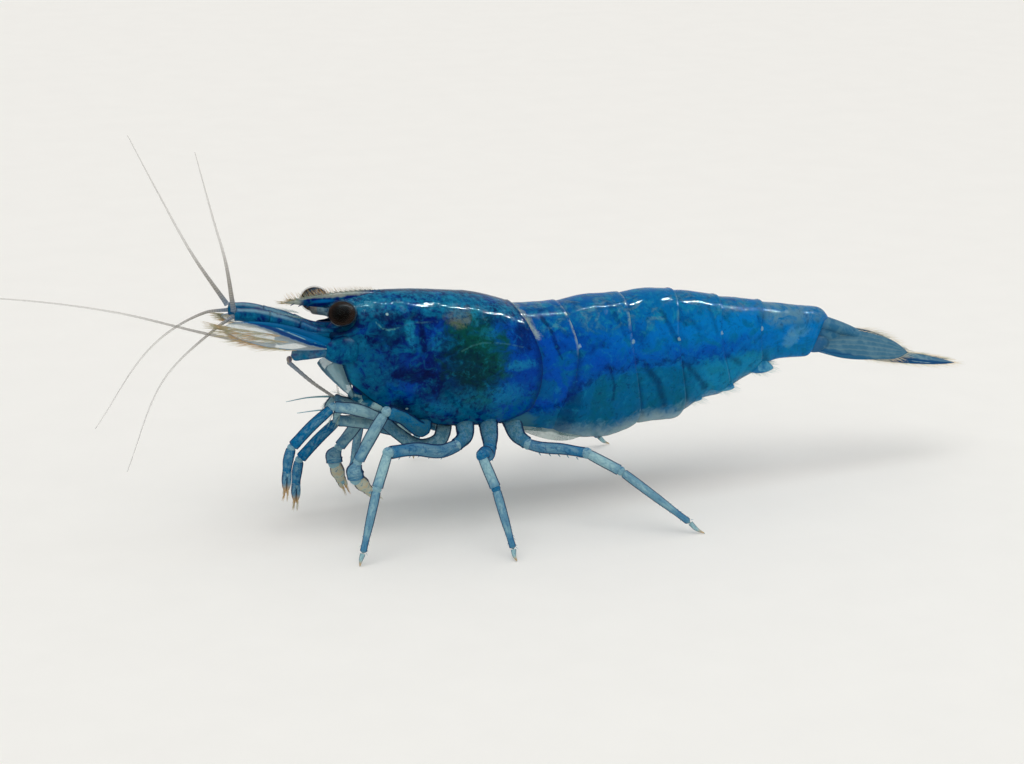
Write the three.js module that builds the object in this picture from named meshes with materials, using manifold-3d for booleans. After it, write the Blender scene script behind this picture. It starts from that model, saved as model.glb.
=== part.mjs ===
// Aquarium shrimp, a dwarf freshwater shrimp at life size, walking on level ground.
// Millimetres, +Z up. The head points along -Y and the animal's left side is +X.
// Shapes are laid out with Y = 0 where the carapace meets the pleon and Z = 0 at the soles;
// the exported group then moves the whole animal so that the origin is at its bottom centre.
import * as THREE from 'three';
import { mergeVertices } from 'three/addons/utils/BufferGeometryUtils.js';
import Module from 'manifold-3d';

const wasm = await Module();
wasm.setup();

// Driving dimensions.
const GAP = 0.05; // clearance between neighbouring solids
const LIMB = 0.26; // radius of a leg segment
const FEELER = 0.25; // radius of a flagellum
const PLATE = 0.5; // thickness of every fin-like plate
const EYE = 0.6; // radius of an eye
const EYE_SPOTS = { left: [1.5, -7.26, 8.75], right: [-1.5, -7.49, 8.6] }; // centres of the eyes
const LIP = 0.02; // how far a segment's rear edge stands proud, as a share of its size
const SHELL_SIDES = 18;
const LIMB_SIDES = 8;
const FEELER_SIDES = 6;

const vec = (x, y, z) => new THREE.Vector3(x, y, z);

// A smooth curve of value over position through [position, value] stops.
function profile(...stops) {
  const places = stops.map((stop) => stop[0]);
  const values = stops.map((stop) => stop[1]);
  const cubic = new THREE.CubicInterpolant(places, values, 1);
  return (place) => cubic.evaluate(place)[0];
}

const signedPower = (value, power) => Math.sign(value) * Math.abs(value) ** power;

// A closed bar: a unit cylinder whose every vertex is placed by place(t, angle, reach), where t runs
// from 0 to 1 along it, angle goes round it from its top, and reach is 0 on the axis and 1 outside.
function bar(sides, steps, place) {
  const geometry = new THREE.CylinderGeometry(1, 1, 1, sides, steps);
  const points = geometry.getAttribute('position');
  for (let i = 0; i < points.count; i += 1) {
    const [x, z] = [points.getX(i), points.getZ(i)];
    const spot = place(points.getY(i) + 0.5, Math.atan2(x, z), Math.hypot(x, z));
    points.setXYZ(i, spot.x, spot.y, spot.z);
  }
  return geometry;
}

// Manifold solids, for trimming one piece against another.
function solidOf(geometry) {
  const bare = geometry.clone();
  bare.deleteAttribute('normal');
  bare.deleteAttribute('uv');
  const merged = mergeVertices(bare, 1e-4);
  const vertProperties = merged.getAttribute('position').array;
  const triVerts = new Uint32Array(merged.index.array);
  return new wasm.Manifold(new wasm.Mesh({ numProp: 3, vertProperties, triVerts }));
}

function geometryOf(solid) {
  const mesh = solid.getMesh();
  const geometry = new THREE.BufferGeometry();
  geometry.setAttribute('position', new THREE.BufferAttribute(mesh.vertProperties, 3));
  geometry.setIndex(new THREE.BufferAttribute(mesh.triVerts, 1));
  const flat = geometry.toNonIndexed();
  flat.computeVertexNormals();
  return flat;
}

const largestLump = (solid) => solid.decompose().sort((a, b) => b.volume() - a.volume())[0];

// The piece with each cutter taken away, keeping only its largest lump.
function trim(geometry, ...cutters) {
  const cut = cutters.reduce((left, cutter) => left.subtract(cutter), solidOf(geometry));
  return geometryOf(largestLump(cut));
}

// The part of the piece that lies inside the room.
const confine = (geometry, room) => geometryOf(largestLump(solidOf(geometry).intersect(room)));

// Materials.
function finish(color, roughness) {
  return new THREE.MeshStandardMaterial({ color, roughness, metalness: 0 });
}
const SHELL = finish('#123f95', 0.28);
const PLEON = finish('#1b62bd', 0.3);
const FIN = finish('#4f83ae', 0.4);
const LIMBS = finish('#5f9fb5', 0.4);
const FEELERS = finish('#7d8f99', 0.5);
const EYES = finish('#2a1710', 0.18);
const BELLY = finish('#8aa5a8', 0.5);

const animal = new THREE.Group();
function add(name, geometry, material) {
  const mesh = new THREE.Mesh(geometry, material);
  mesh.name = name;
  animal.add(mesh);
}
const SIDES = [['left', 1], ['right', -1]];

// ---- Body shell -------------------------------------------------------------------------------

// One stretch of body shell between two edges. Each edge gives Y by height in the section, from 0 at
// the lower margin to 1 at the back, so an edge may be as curved as the real one.
function shell({ top, foot, half, front, rear, steps, lip = 0, grow = 0, corner = 0 }) {
  return bar(SHELL_SIDES, steps, (t, angle, reach) => {
    const height = (1 + Math.cos(angle) * reach) / 2;
    const y = front(height) + t * (rear(height) - front(height)) + (t - 0.5) * 2 * grow;
    const swell = 1 + lip * (2 * t - 1);
    const low = foot(y) + corner * (2 * t - 1) ** 4 - grow;
    const depth = (top(y) + grow - low) / 2;
    const power = Math.cos(angle) > 0 ? 0.9 : 0.45;
    const x = (half(y) + grow) * swell * signedPower(Math.sin(angle), power) * reach;
    return vec(x, y, low + depth + depth * swell * Math.cos(angle) * reach);
  });
}

// The hollow between the two side walls of a shell, open downwards.
function hollow({ half, ceiling, foot, share, from, to, steps, grow = 0 }) {
  return bar(10, steps, (t, angle, reach) => {
    const y = from + t * (to - from);
    const low = foot(y) - 1;
    const rise = (ceiling(y) + grow - low) / 2;
    const x = (half(y) * share + grow) * signedPower(Math.sin(angle), 0.5) * reach;
    return vec(x, y, low + rise + rise * signedPower(Math.cos(angle), 0.7) * reach);
  });
}

const carapaceForm = {
  top: profile([-7.6, 8.72], [-6.6, 9.0], [-5.5, 9.12], [-4, 9.04], [-2.1, 8.8], [-0.9, 8.5], [0.4, 7.98]),
  foot: profile([-7.6, 7.0], [-7, 6.05], [-6.3, 5.4], [-5.4, 4.76], [-4.4, 4.34], [-3, 4.06], [-1.3, 4]),
  half: profile([-7.6, 0.95], [-6.6, 1.35], [-5.4, 1.72], [-4, 1.98], [-2.5, 2.1], [-1, 2.1], [0.4, 1.95]),
  front: profile([0, -7.1], [0.2, -7.3], [0.45, -7.6], [0.62, -7.3], [0.8, -6.8], [0.93, -7], [1, -7.5]),
  rear: profile([0, -1.3], [0.11, -0.4], [0.25, 0.08], [0.45, 0.36], [0.65, 0.41], [0.83, 0.25], [1, -0.08]),
  steps: 10,
};
const gillSpace = {
  ...carapaceForm,
  ceiling: profile([-8, 7.3], [-7, 6.85], [-6, 6.15], [-5, 5.65], [-3, 5.2], [0.6, 5.15]),
  share: 0.62,
  from: -8.2,
  to: 0.8,
};

// The rostrum: a thin blade with a toothed upper edge, run back into the carapace.
const ROSTRUM = { root: -5.9, tip: -9.2, tipHeight: 9, crest: 9.16, thick: 0.5, teeth: 12, tooth: 0.1 };
function rostrumBlade() {
  const { root, tip, tipHeight, crest, thick, teeth, tooth } = ROSTRUM;
  const edge = new THREE.Shape();
  edge.moveTo(root, crest - 0.5);
  edge.lineTo(root, crest - 0.04);
  const pitch = (root - tip - 0.5) / teeth;
  for (let i = 0; i < teeth; i += 1) {
    const y = root - i * pitch;
    const fall = 0.1 * (i / teeth) ** 2;
    edge.lineTo(y - pitch * 0.8, crest + tooth - fall);
    edge.lineTo(y - pitch, crest - fall);
  }
  edge.lineTo(tip, tipHeight);
  edge.lineTo(tip + 0.9, tipHeight - 0.3);
  edge.lineTo(tip + 1.8, tipHeight - 0.42);
  const blade = new THREE.ExtrudeGeometry(edge, { depth: thick, bevelEnabled: false, curveSegments: 1 });
  blade.translate(0, 0, -thick / 2);
  const upright = new THREE.Matrix4().makeBasis(vec(0, 1, 0), vec(0, 0, 1), vec(1, 0, 0));
  return blade.applyMatrix4(upright);
}

const eyeBall = (name, radius) => new THREE.SphereGeometry(radius, 12, 9).translate(...EYE_SPOTS[name]);
const orbits = SIDES.map(([name]) => solidOf(eyeBall(name, EYE + GAP)));

const carapace = trim(
  geometryOf(solidOf(shell(carapaceForm)).add(solidOf(rostrumBlade()))),
  solidOf(hollow({ ...gillSpace, steps: 7 })),
  ...orbits,
);
const carapaceCutter = solidOf(shell({ ...carapaceForm, grow: GAP }))
  .subtract(solidOf(hollow({ ...gillSpace, steps: 7, grow: -GAP })));
add('carapace', carapace, SHELL);

// Underside of the thorax, which carries the walking legs, and the mouthparts in front of it.
const thorax = bar(10, 5, (t, angle, reach) => {
  const y = -4.7 + t * 5;
  const low = 3.42 + 0.12 * (2 * t - 1) ** 2;
  const rise = (gillSpace.ceiling(y) - 0.25 - low) / 2;
  const x = 1.12 * signedPower(Math.sin(angle), 0.7) * reach;
  return vec(x, y, low + rise + rise * signedPower(Math.cos(angle), 0.8) * reach);
});
const mouthparts = bar(10, 5, (t, angle, reach) => {
  const y = -7.3 + t * 2.5;
  const low = gillSpace.foot(y) - 0.25 - 0.25 * Math.sin(Math.PI * t);
  const rise = (gillSpace.ceiling(y) - 0.2 - low) / 2;
  const x = (0.35 + 0.25 * Math.sin(Math.PI * t)) * signedPower(Math.sin(angle), 0.8) * reach;
  return vec(x, y, low + rise + rise * Math.cos(angle) * reach);
});
const grown = (geometry, by) => {
  geometry.computeBoundingBox();
  const centre = geometry.boundingBox.getCenter(vec(0, 0, 0));
  const size = geometry.boundingBox.getSize(vec(0, 0, 0));
  return solidOf(
    geometry
      .clone()
      .translate(-centre.x, -centre.y, -centre.z)
      .scale(1 + (2 * by) / size.x, 1 + (2 * by) / size.y, 1 + (2 * by) / size.z)
      .translate(centre.x, centre.y, centre.z),
  );
};
const thoraxCutter = grown(thorax, GAP);
const mouthCutter = grown(mouthparts, GAP);
add('thorax', trim(thorax, carapaceCutter), BELLY);
add('mouthparts', trim(mouthparts, carapaceCutter, thoraxCutter), BELLY);

// Pleon: six overlapping rings. A joint line runs forward from the back to the hinge on the flank and
// back again to the lower margin.
const jointLine = (back, hinge, margin) => profile([0, margin], [0.68, hinge], [1, back]);
const pleonForm = {
  top: profile([0, 8.02], [1, 8.15], [3, 8.24], [5.6, 8.24], [7.2, 8.03], [9, 7.64], [11, 7.26], [13.5, 6.68]),
  foot: profile([0, 3.4], [2, 3.05], [3.3, 3.08], [4.9, 3.32], [6.2, 3.5], [7.5, 4], [8.8, 4.6], [10.4, 5.1], [13, 5.05]),
  half: profile([0, 1.78], [1.5, 1.87], [3, 1.9], [5, 1.8], [7, 1.6], [9, 1.35], [10.6, 1.12], [13.4, 0.8]),
};
const pleonJoints = [
  profile([0, -0.2], [0.22, -0.35], [0.34, 0.09], [0.5, 0.37], [0.67, 0.41], [0.84, 0.25], [1, -0.08]),
  jointLine(1.84, 2.09, 1.0),
  jointLine(4.26, 4.34, 4.9),
  jointLine(6.85, 6.28, 6.9),
  jointLine(8.66, 8.08, 8.9),
  jointLine(10.63, 9.85, 10.3),
  jointLine(13.45, 12.6, 12.9),
];
const broodSpace = {
  ...pleonForm,
  ceiling: profile([-1, 5.2], [3, 5.3], [6, 5.5], [9, 5.9], [11, 6]),
  share: 0.66,
  from: -1,
  to: 10.45,
};
const broodCutter = solidOf(hollow({ ...broodSpace, steps: 6 }));
const broodRoom = solidOf(hollow({ ...broodSpace, to: 11.5, steps: 6, grow: -GAP }));
const PLEON_RINGS = 6;
for (let ring = 1; ring <= PLEON_RINGS; ring += 1) {
  const last = ring === PLEON_RINGS;
  const rim = (edge, shift) => (height) => edge(height) + shift;
  const geometry = shell({
    ...pleonForm,
    front: rim(pleonJoints[ring - 1], GAP),
    rear: rim(pleonJoints[ring], -GAP),
    steps: 4,
    lip: LIP,
    corner: last ? 0 : 0.3,
  });
  const cutters = last ? [] : [broodCutter];
  if (ring === 1) cutters.push(carapaceCutter, thoraxCutter);
  add(`pleon_${ring}`, cutters.length ? trim(geometry, ...cutters) : geometry, PLEON);
}

// ---- Plates: tail fan, swimmerets and antennal scales -----------------------------------------

// A flat plate that follows a centre line, with its width along `across` and a half-width profile.
function plate({ line, across, half, steps = 6, sides = 10, thick = PLATE }) {
  const curve = new THREE.CatmullRomCurve3(line.map((point) => vec(...point)));
  return bar(sides, steps, (t, angle, reach) => {
    const ahead = curve.getTangent(t);
    const width = vec(...across).addScaledVector(ahead, -ahead.dot(vec(...across))).normalize();
    const up = vec(0, 0, 0).crossVectors(width, ahead);
    return curve
      .getPoint(t)
      .addScaledVector(width, half(t) * signedPower(Math.sin(angle), 0.8) * reach)
      .addScaledVector(up, (thick / 2) * signedPower(Math.cos(angle), 0.5) * reach);
  });
}

const ringSixCutter = grown(
  shell({ ...pleonForm, front: pleonJoints[5], rear: pleonJoints[6], steps: 4, lip: LIP }),
  GAP,
);
const telson = plate({
  line: [[0, 12.9, 6.4], [0, 14.4, 5.8], [0, 15.9, 5.13], [0, 17.2, 4.72]],
  across: [1, 0, 0],
  half: profile([0, 0.62], [0.2, 0.62], [0.7, 0.45], [0.95, 0.28], [1, 0.18]),
});
const telsonCutter = grown(telson, GAP);
add('telson', trim(telson, ringSixCutter), FIN);
for (const [name, side] of SIDES) {
  const uropod = plate({
    line: [[0.42 * side, 12.9, 5.4], [0.6 * side, 14.4, 5.3], [0.6 * side, 15.7, 5.05], [0.45 * side, 17.2, 4.5],
      [0.34 * side, 19.5, 4.1]],
    across: [0.6 * side, 0, -0.8],
    half: profile([0, 0.3], [0.22, 0.6], [0.42, 0.52], [0.63, 0.28], [1, 0.2]),
    steps: 6,
  });
  const midline = new THREE.BoxGeometry(GAP, 9, 4).translate(0, 16.5, 5);
  add(`uropods_${name}`, trim(uropod, ringSixCutter, telsonCutter, solidOf(midline)), FIN);
}

// Swimmerets hang in the brood space, a pair to each of the first five rings, and sweep back.
const SWIMMERETS = [
  { root: 0.85, tip: [1.9, 3.55] },
  { root: 2.95, tip: [4.1, 3.4] },
  { root: 5.3, tip: [7.0, 3.7] },
  { root: 7.25, tip: [9.0, 4.12] },
  { root: 8.95, tip: [10.55, 5.0] },
];
SWIMMERETS.forEach(({ root, tip }, index) => {
  const top = broodSpace.ceiling(root) - 0.1;
  for (const [name, side] of SIDES) {
    const x = side * Math.min(0.62, pleonForm.half(tip[0]) * 0.5);
    const swimmeret = plate({
      line: [[x, root, top], [x, root + 0.15 * (tip[0] - root), (top + tip[1]) / 2], [x, ...tip]],
      across: [0, 1, 0.4],
      half: profile([0, 0.26], [0.5, 0.5], [0.8, 0.42], [1, 0.2]),
      steps: 4,
      sides: 8,
    });
    const hung = confine(swimmeret, broodRoom);
    add(`swimmeret_${index + 1}_${name}`, trim(hung, ringSixCutter, thoraxCutter), FIN);
  }
});

// ---- Limbs -------------------------------------------------------------------------------------

// A jointed tube through the given points, with a radius at each. A sole lies flat on the ground.
function limb(stops, { sides = LIMB_SIDES, sole = false } = {}) {
  const points = stops.map((stop) => vec(stop[0], stop[1], stop[2]));
  const last = points.length - 1;
  const heading = (i) => {
    const before = vec(0, 0, 0).subVectors(points[Math.max(i, 1)], points[Math.max(i, 1) - 1]);
    const after = vec(0, 0, 0).subVectors(points[Math.min(i, last - 1) + 1], points[Math.min(i, last - 1)]);
    return before.normalize().add(after.normalize()).normalize();
  };
  const frames = [];
  for (let i = 0; i <= last; i += 1) {
    const ahead = heading(i);
    const across = i ? frames[i - 1].across.clone() : vec(1, 0.2, 0.1);
    across.addScaledVector(ahead, -ahead.dot(across)).normalize();
    frames.push({ across, up: vec(0, 0, 0).crossVectors(across, ahead) });
  }
  return bar(sides, last, (t, angle, reach) => {
    const i = Math.round(t * last);
    const radius = stops[i][3] * reach;
    const spot = points[i]
      .clone()
      .addScaledVector(frames[i].across, radius * Math.sin(angle))
      .addScaledVector(frames[i].up, radius * Math.cos(angle));
    if (sole && i === last) spot.z = 0;
    return spot;
  });
}

// The same stops on the animal's other side.
const mirrored = (stops, side) => stops.map(([x, ...rest]) => [x * side, ...rest]);

// Walking legs, third to fifth pair: hip, base joint, knee, wrist, ankle and sole. The right legs stand
// a little differently from the left, as they do in mid-stride.
const WALKING_LEGS = {
  3: {
    left: { hip: [1.0, -2.3, 4.2], base: [2.1, -2.95, 3.34], knee: [3.9, -6.3, 3.92], wrist: [4.3, -6.87, 2.7], foot: [5, -7.78] },
    right: { hip: [1.0, -2.3, 4.2], base: [2.1, -2.6, 3.5], knee: [3.7, -4.7, 4.3], wrist: [4.2, -4.95, 2.7], foot: [5, -5.2] },
  },
  4: {
    left: { hip: [1.0, -1.4, 4.2], base: [2.3, -1.7, 3.2], knee: [4.9, -2.97, 3.74], wrist: [5.4, -2.6, 2.58], foot: [6.45, -2.15] },
    right: { hip: [1.0, -1.4, 4.2], base: [2.3, -1.55, 3.4], knee: [4.9, -1.9, 4.1], wrist: [5.6, -1.9, 2.8], foot: [6.8, -1.9] },
  },
  5: {
    left: { hip: [0.9, -0.5, 4.1], base: [1.9, -0.35, 3.13], knee: [3.8, 1.66, 3.02], wrist: [4.6, 2.73, 2.43], foot: [5.98, 5.66] },
    right: { hip: [0.9, -0.5, 4.1], base: [1.9, -0.2, 3.3], knee: [3.7, 2.0, 3.5], wrist: [4.5, 3.2, 2.7], foot: [5.9, 6.55] },
  },
};
const bodyCutters = [carapaceCutter, thoraxCutter];
for (const [number, pair] of Object.entries(WALKING_LEGS)) {
  for (const [name, side] of SIDES) {
    const { hip, base, knee, wrist, foot } = pair[name];
    const between = (a, b, share) => a.map((value, axis) => value + (b[axis] - value) * share);
    const sole = [...foot, 0];
    const ankle = between(wrist, sole, 0.8);
    const upper = [
      [...hip, 0.36],
      [...between(hip, base, 0.6), 0.36],
      [...base, 0.3],
      [...between(base, knee, 0.25), 0.28],
      [...between(base, knee, 0.85), 0.28],
      [...between(base, knee, 0.97), 0.25],
    ];
    const lower = [
      [...between(knee, wrist, 0.08), 0.25],
      [...between(knee, wrist, 0.35), LIMB],
      [...between(knee, wrist, 0.8), LIMB],
      [...wrist, 0.25],
      [...between(wrist, sole, 0.3), 0.25],
      [...ankle, 0.25],
      [...sole, 0.2],
    ];
    const shin = limb(mirrored(lower, side), { sole: true });
    const thigh = trim(limb(mirrored(upper, side)), ...bodyCutters, grown(shin, GAP));
    add(`leg_${number}_${name}_upper`, thigh, LIMBS);
    add(`leg_${number}_${name}_lower`, shin, LIMBS);
  }
}

// Feeding legs, first and second pair: held forward under the head, each ending in a small brush-tipped claw.
const FEEDING_LEGS = {
  1: {
    left: [[0.9, -3.9, 4.2, 0.34], [1.7, -4.3, 4.0, 0.3], [2.0, -5.6, 4.9, 0.28], [1.98, -5.95, 4.85, 0.27],
      [1.78, -6.6, 3.35, 0.25], [1.66, -6.85, 2.85, 0.3], [1.62, -6.95, 2.5, 0.38], [1.57, -6.75, 2.15, 0.3],
      [1.52, -6.35, 1.7, 0.28], [1.47, -6.05, 1.4, 0.2]],
    right: [[-0.9, -3.9, 4.2, 0.34], [-1.7, -4.3, 4.0, 0.3], [-1.75, -5.5, 3.75, 0.28], [-1.72, -5.95, 3.2, 0.27],
      [-1.7, -6.5, 2.6, 0.3], [-1.7, -6.75, 2.2, 0.36], [-1.65, -6.75, 1.7, 0.3], [-1.62, -6.5, 1.1, 0.26],
      [-1.6, -6.35, 0.75, 0.2]],
  },
  2: {
    left: [[0.8, -3.0, 4.1, 0.32], [1.3, -3.45, 3.35, 0.28], [1.3, -4.2, 3.2, 0.26], [1.2, -5.1, 3.8, 0.25],
      [1.15, -5.8, 4.5, 0.25], [1.1, -7.35, 5.05, 0.27], [1.1, -7.75, 4.95, 0.25], [1.1, -9.0, 3.85, 0.25],
      [1.1, -9.28, 3.5, 0.25], [1.1, -9.45, 2.5, 0.25], [1.1, -9.47, 1.7, 0.2]],
    right: [[-0.8, -3.0, 4.1, 0.32], [-1.25, -3.45, 3.3, 0.28], [-1.2, -4.3, 3.15, 0.26], [-1.0, -5.4, 3.5, 0.25],
      [-0.95, -6.6, 3.86, 0.27], [-0.95, -7.0, 3.7, 0.25], [-0.95, -8.2, 2.68, 0.25], [-0.95, -8.45, 2.3, 0.25],
      [-0.95, -8.55, 1.4, 0.25], [-0.95, -8.56, 0.55, 0.2]],
  },
};
for (const [number, pair] of Object.entries(FEEDING_LEGS)) {
  for (const [name] of SIDES) {
    add(`leg_${number}_${name}`, trim(limb(pair[name]), ...bodyCutters, mouthCutter), LIMBS);
  }
}

// Third maxillipeds: slender limbs that run forward under the mouth.
const MAXILLIPEDS = {
  left: [[0.3, -4.7, 4.1, 0.25], [0.42, -5.4, 4.5, 0.25], [0.5, -6.2, 4.85, 0.25], [0.52, -6.95, 5.25, 0.22]],
  right: [[-0.3, -4.7, 4.1, 0.25], [-0.42, -5.4, 4.4, 0.25], [-0.5, -6.1, 4.6, 0.25], [-0.52, -6.6, 4.8, 0.22]],
};
const mandibles = grown(mouthparts, GAP);
for (const [name] of SIDES) {
  add(`maxilliped_${name}`, trim(limb(MAXILLIPEDS[name]), ...bodyCutters, mandibles), LIMBS);
}

// ---- Head: eyes, antennules and antennae ---------------------------------------------------------

// A flagellum: an even tube along a smooth curve through a few points.
function flagellum(line, steps) {
  const curve = new THREE.CatmullRomCurve3(line.map((point) => vec(...point)), false, 'centripetal');
  const stops = curve.getSpacedPoints(steps).map((point) => [point.x, point.y, point.z, FEELER]);
  return limb(stops, { sides: FEELER_SIDES });
}

const ANTENNULES = {
  left: {
    upper: [[0.5, -11.2, 9.25], [0.95, -11.5, 10.9], [1.8, -12.1, 12.7], [3.1, -13.0, 15.5]],
    lower: [[0.5, -11.2, 8.72], [0.85, -11.9, 8.45], [1.8, -14.15, 6.93], [2.8, -15.83, 3.9]],
  },
  right: {
    upper: [[-0.5, -11.2, 9.25], [-0.7, -12.35, 10.9], [-1.1, -13.5, 13.3], [-1.5, -14.45, 15.4]],
    lower: [[-0.5, -11.2, 8.72], [-0.55, -12, 8.7], [-0.9, -13.85, 7.6], [-1.4, -16.14, 4.36]],
  },
};
const ANTENNAE = {
  left: [[1.1, -9.28, 6.9], [0.6, -8.3, 6.0], [-0.8, -7.0, 4.85], [-2.7, -6.2, 4.0], [-4.8, -5.6, 4.5], [-6.2, -2.8, 5.2], [-6.6, 1, 5.2],
    [-6.6, 6, 4.6]],
  right: [[-1.65, -9.6, 6.95], [-3, -11.34, 7.2], [-5.5, -14.5, 7.75], [-8.5, -18.37, 7.9], [-11, -21.8, 7.6]],
};
for (const [name, side] of SIDES) {
  add(`eye_${name}`, eyeBall(name, EYE), EYES);

  const stalk = limb(mirrored([
    [0.42, -7.1, 8.1, 0.3], [0.7, -7.35, 8.35, 0.33], [1.0, -7.4, 8.6, 0.4], [1.2, -7.35, 8.7, 0.42],
  ], side));
  const peduncle = limb(mirrored([
    [0.5, -7.0, 8.0, 0.3], [0.5, -7.9, 8.12, 0.42], [0.5, -8.7, 8.32, 0.4], [0.48, -8.8, 8.35, 0.36],
    [0.48, -9.8, 8.6, 0.34], [0.48, -9.9, 8.62, 0.32], [0.48, -11.05, 8.95, 0.32],
  ], side));
  const peduncleCutter = grown(peduncle, GAP);
  add(`eyestalk_${name}`, trim(stalk, carapaceCutter, orbits[side > 0 ? 0 : 1], peduncleCutter), LIMBS);
  add(`antennule_${name}`, trim(peduncle, carapaceCutter), SHELL);
  for (const [rank, line] of Object.entries(ANTENNULES[name])) {
    add(`antennule_${name}_${rank}_flagellum`, trim(flagellum(line, 10), peduncleCutter), FEELERS);
  }

  const base = limb(mirrored([
    [1.0, -6.9, 7.2, 0.4], [1.15, -7.6, 7.28, 0.5], [1.2, -8.15, 7.3, 0.42], [1.2, -8.25, 7.28, 0.27],
    [1.2, -9.15, 7.24, 0.27], [1.15, -9.35, 7.1, 0.25],
  ], side));
  const baseCutter = grown(base, GAP);
  const scale = plate({
    line: mirrored([[1.2, -8.0, 7.6], [1.3, -9.4, 7.95], [1.25, -10.8, 8.3], [1.15, -11.7, 8.55]], side),
    across: [0.75 * side, 0, -0.6],
    half: profile([0, 0.3], [0.3, 0.52], [0.65, 0.5], [0.9, 0.32], [1, 0.15]),
  });
  const scaleCutter = grown(scale, GAP);
  const feeler = flagellum(ANTENNAE[name], 14);
  add(`antenna_${name}`, trim(base, carapaceCutter, mouthCutter, peduncleCutter), SHELL);
  add(`antennal_scale_${name}`, trim(scale, baseCutter, carapaceCutter, peduncleCutter), FIN);
  add(`antenna_${name}_flagellum`, trim(feeler, baseCutter, scaleCutter), FEELERS);
}

// ---- Place the animal with its origin at the middle of its base --------------------------------

const extent = new THREE.Box3().setFromObject(animal);
const middle = extent.getCenter(vec(0, 0, 0));
animal.position.set(-middle.x, -middle.y, -extent.min.z);
const shrimp = new THREE.Group();
shrimp.add(animal);

export default shrimp;
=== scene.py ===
"""A blue dwarf freshwater shrimp, life size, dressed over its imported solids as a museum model.

Shapes are laid out in millimetres with the head along -Y, the left side along +X, Y = 0 where the
carapace meets the pleon and Z = 0 at the soles. A finished piece is moved into the frame, in metres.
"""
import math
import random

import bmesh
import bpy
from mathutils import Matrix, Vector, noise


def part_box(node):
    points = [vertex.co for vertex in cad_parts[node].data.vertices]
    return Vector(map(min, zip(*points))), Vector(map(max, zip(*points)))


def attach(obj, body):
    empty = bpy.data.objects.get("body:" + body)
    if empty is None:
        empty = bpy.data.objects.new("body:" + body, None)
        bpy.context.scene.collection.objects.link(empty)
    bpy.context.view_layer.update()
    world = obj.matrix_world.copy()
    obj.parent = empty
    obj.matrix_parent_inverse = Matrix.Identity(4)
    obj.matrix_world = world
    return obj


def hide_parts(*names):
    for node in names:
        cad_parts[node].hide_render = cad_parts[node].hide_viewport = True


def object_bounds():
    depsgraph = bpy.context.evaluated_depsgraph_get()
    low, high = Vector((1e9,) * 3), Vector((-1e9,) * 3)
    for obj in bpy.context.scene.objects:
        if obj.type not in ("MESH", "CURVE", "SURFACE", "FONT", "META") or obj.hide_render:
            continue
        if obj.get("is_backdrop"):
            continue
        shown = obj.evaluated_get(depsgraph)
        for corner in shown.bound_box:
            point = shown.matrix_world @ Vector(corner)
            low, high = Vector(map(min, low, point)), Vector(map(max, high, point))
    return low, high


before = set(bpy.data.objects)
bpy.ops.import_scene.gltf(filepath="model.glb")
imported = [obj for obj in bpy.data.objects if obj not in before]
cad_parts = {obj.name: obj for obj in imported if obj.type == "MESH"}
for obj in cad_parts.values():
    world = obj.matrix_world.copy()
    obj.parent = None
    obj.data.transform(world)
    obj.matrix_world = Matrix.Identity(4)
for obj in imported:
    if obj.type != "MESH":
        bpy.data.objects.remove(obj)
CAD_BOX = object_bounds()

bl_info = {
    "name": "Aquarium Shrimp",
    "version": (1, 0, 0),
    "blender": (4, 5, 0),
    "location": "View3D > Sidebar > Shrimp",
    "description": "Dresses the solids of a dwarf freshwater shrimp with its shell, limbs, feelers and fins",
    "category": "Add Mesh",
}

MM = 0.001
EYE_SPOTS = {"left": Vector((1.5, -7.26, 8.75)), "right": Vector((-1.5, -7.49, 8.6))}  # in the layout
EYE_LOW, EYE_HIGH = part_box("eye_left")
SHIFT = (EYE_LOW + EYE_HIGH) / 2 - EYE_SPOTS["left"] * MM
TO_FRAME = Matrix.Translation(SHIFT) @ Matrix.Scale(MM, 4)
SIDES = (("left", 1), ("right", -1))
TURN = 2 * math.pi


def srgb(red, green, blue):
    """A colour given as screen values from 0 to 255, as the linear numbers that shaders use."""
    return tuple((value / 255) ** 2.2 for value in (red, green, blue))


def toned(tint, share):
    """A tint made darker, or lighter where share is above 1."""
    return tuple(part * share for part in tint)


def colour(name, about, value):
    return bpy.props.FloatVectorProperty(
        name=name, description=about, default=value, subtype="COLOR", size=3, min=0, max=1)


def length(name, about, value):
    return bpy.props.FloatProperty(name=name, description=about, default=value, unit="LENGTH", min=0)


class ShrimpSizes(bpy.types.PropertyGroup):
    """Sizes that the solids do not settle."""
    wall: length("Shell wall", "Thickness of the carapace and the tail rings", 0.00005)
    blade: length("Blade", "Thickness of the fins and antennal scales", 0.00006)
    hair: length("Hair", "Radius of a bristle at its root", 0.000009)
    scale_fringe: length("Scale fringe", "Length of the hairs on the antennal scales", 0.0009)
    fan_fringe: length("Fan fringe", "Length of the hairs on the tail fan", 0.0006)
    brush: length("Brush", "Length of the hairs on the feeding claws", 0.00045)
    feeler_root: length("Feeler root", "Radius of a feeler where it leaves the head", 0.0001)
    feeler_tip: length("Feeler tip", "Radius of a feeler at its end", 0.000015)
    cornea: length("Cornea", "Depth of the clear rim round the dark core of an eye", 0.00006)


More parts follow.
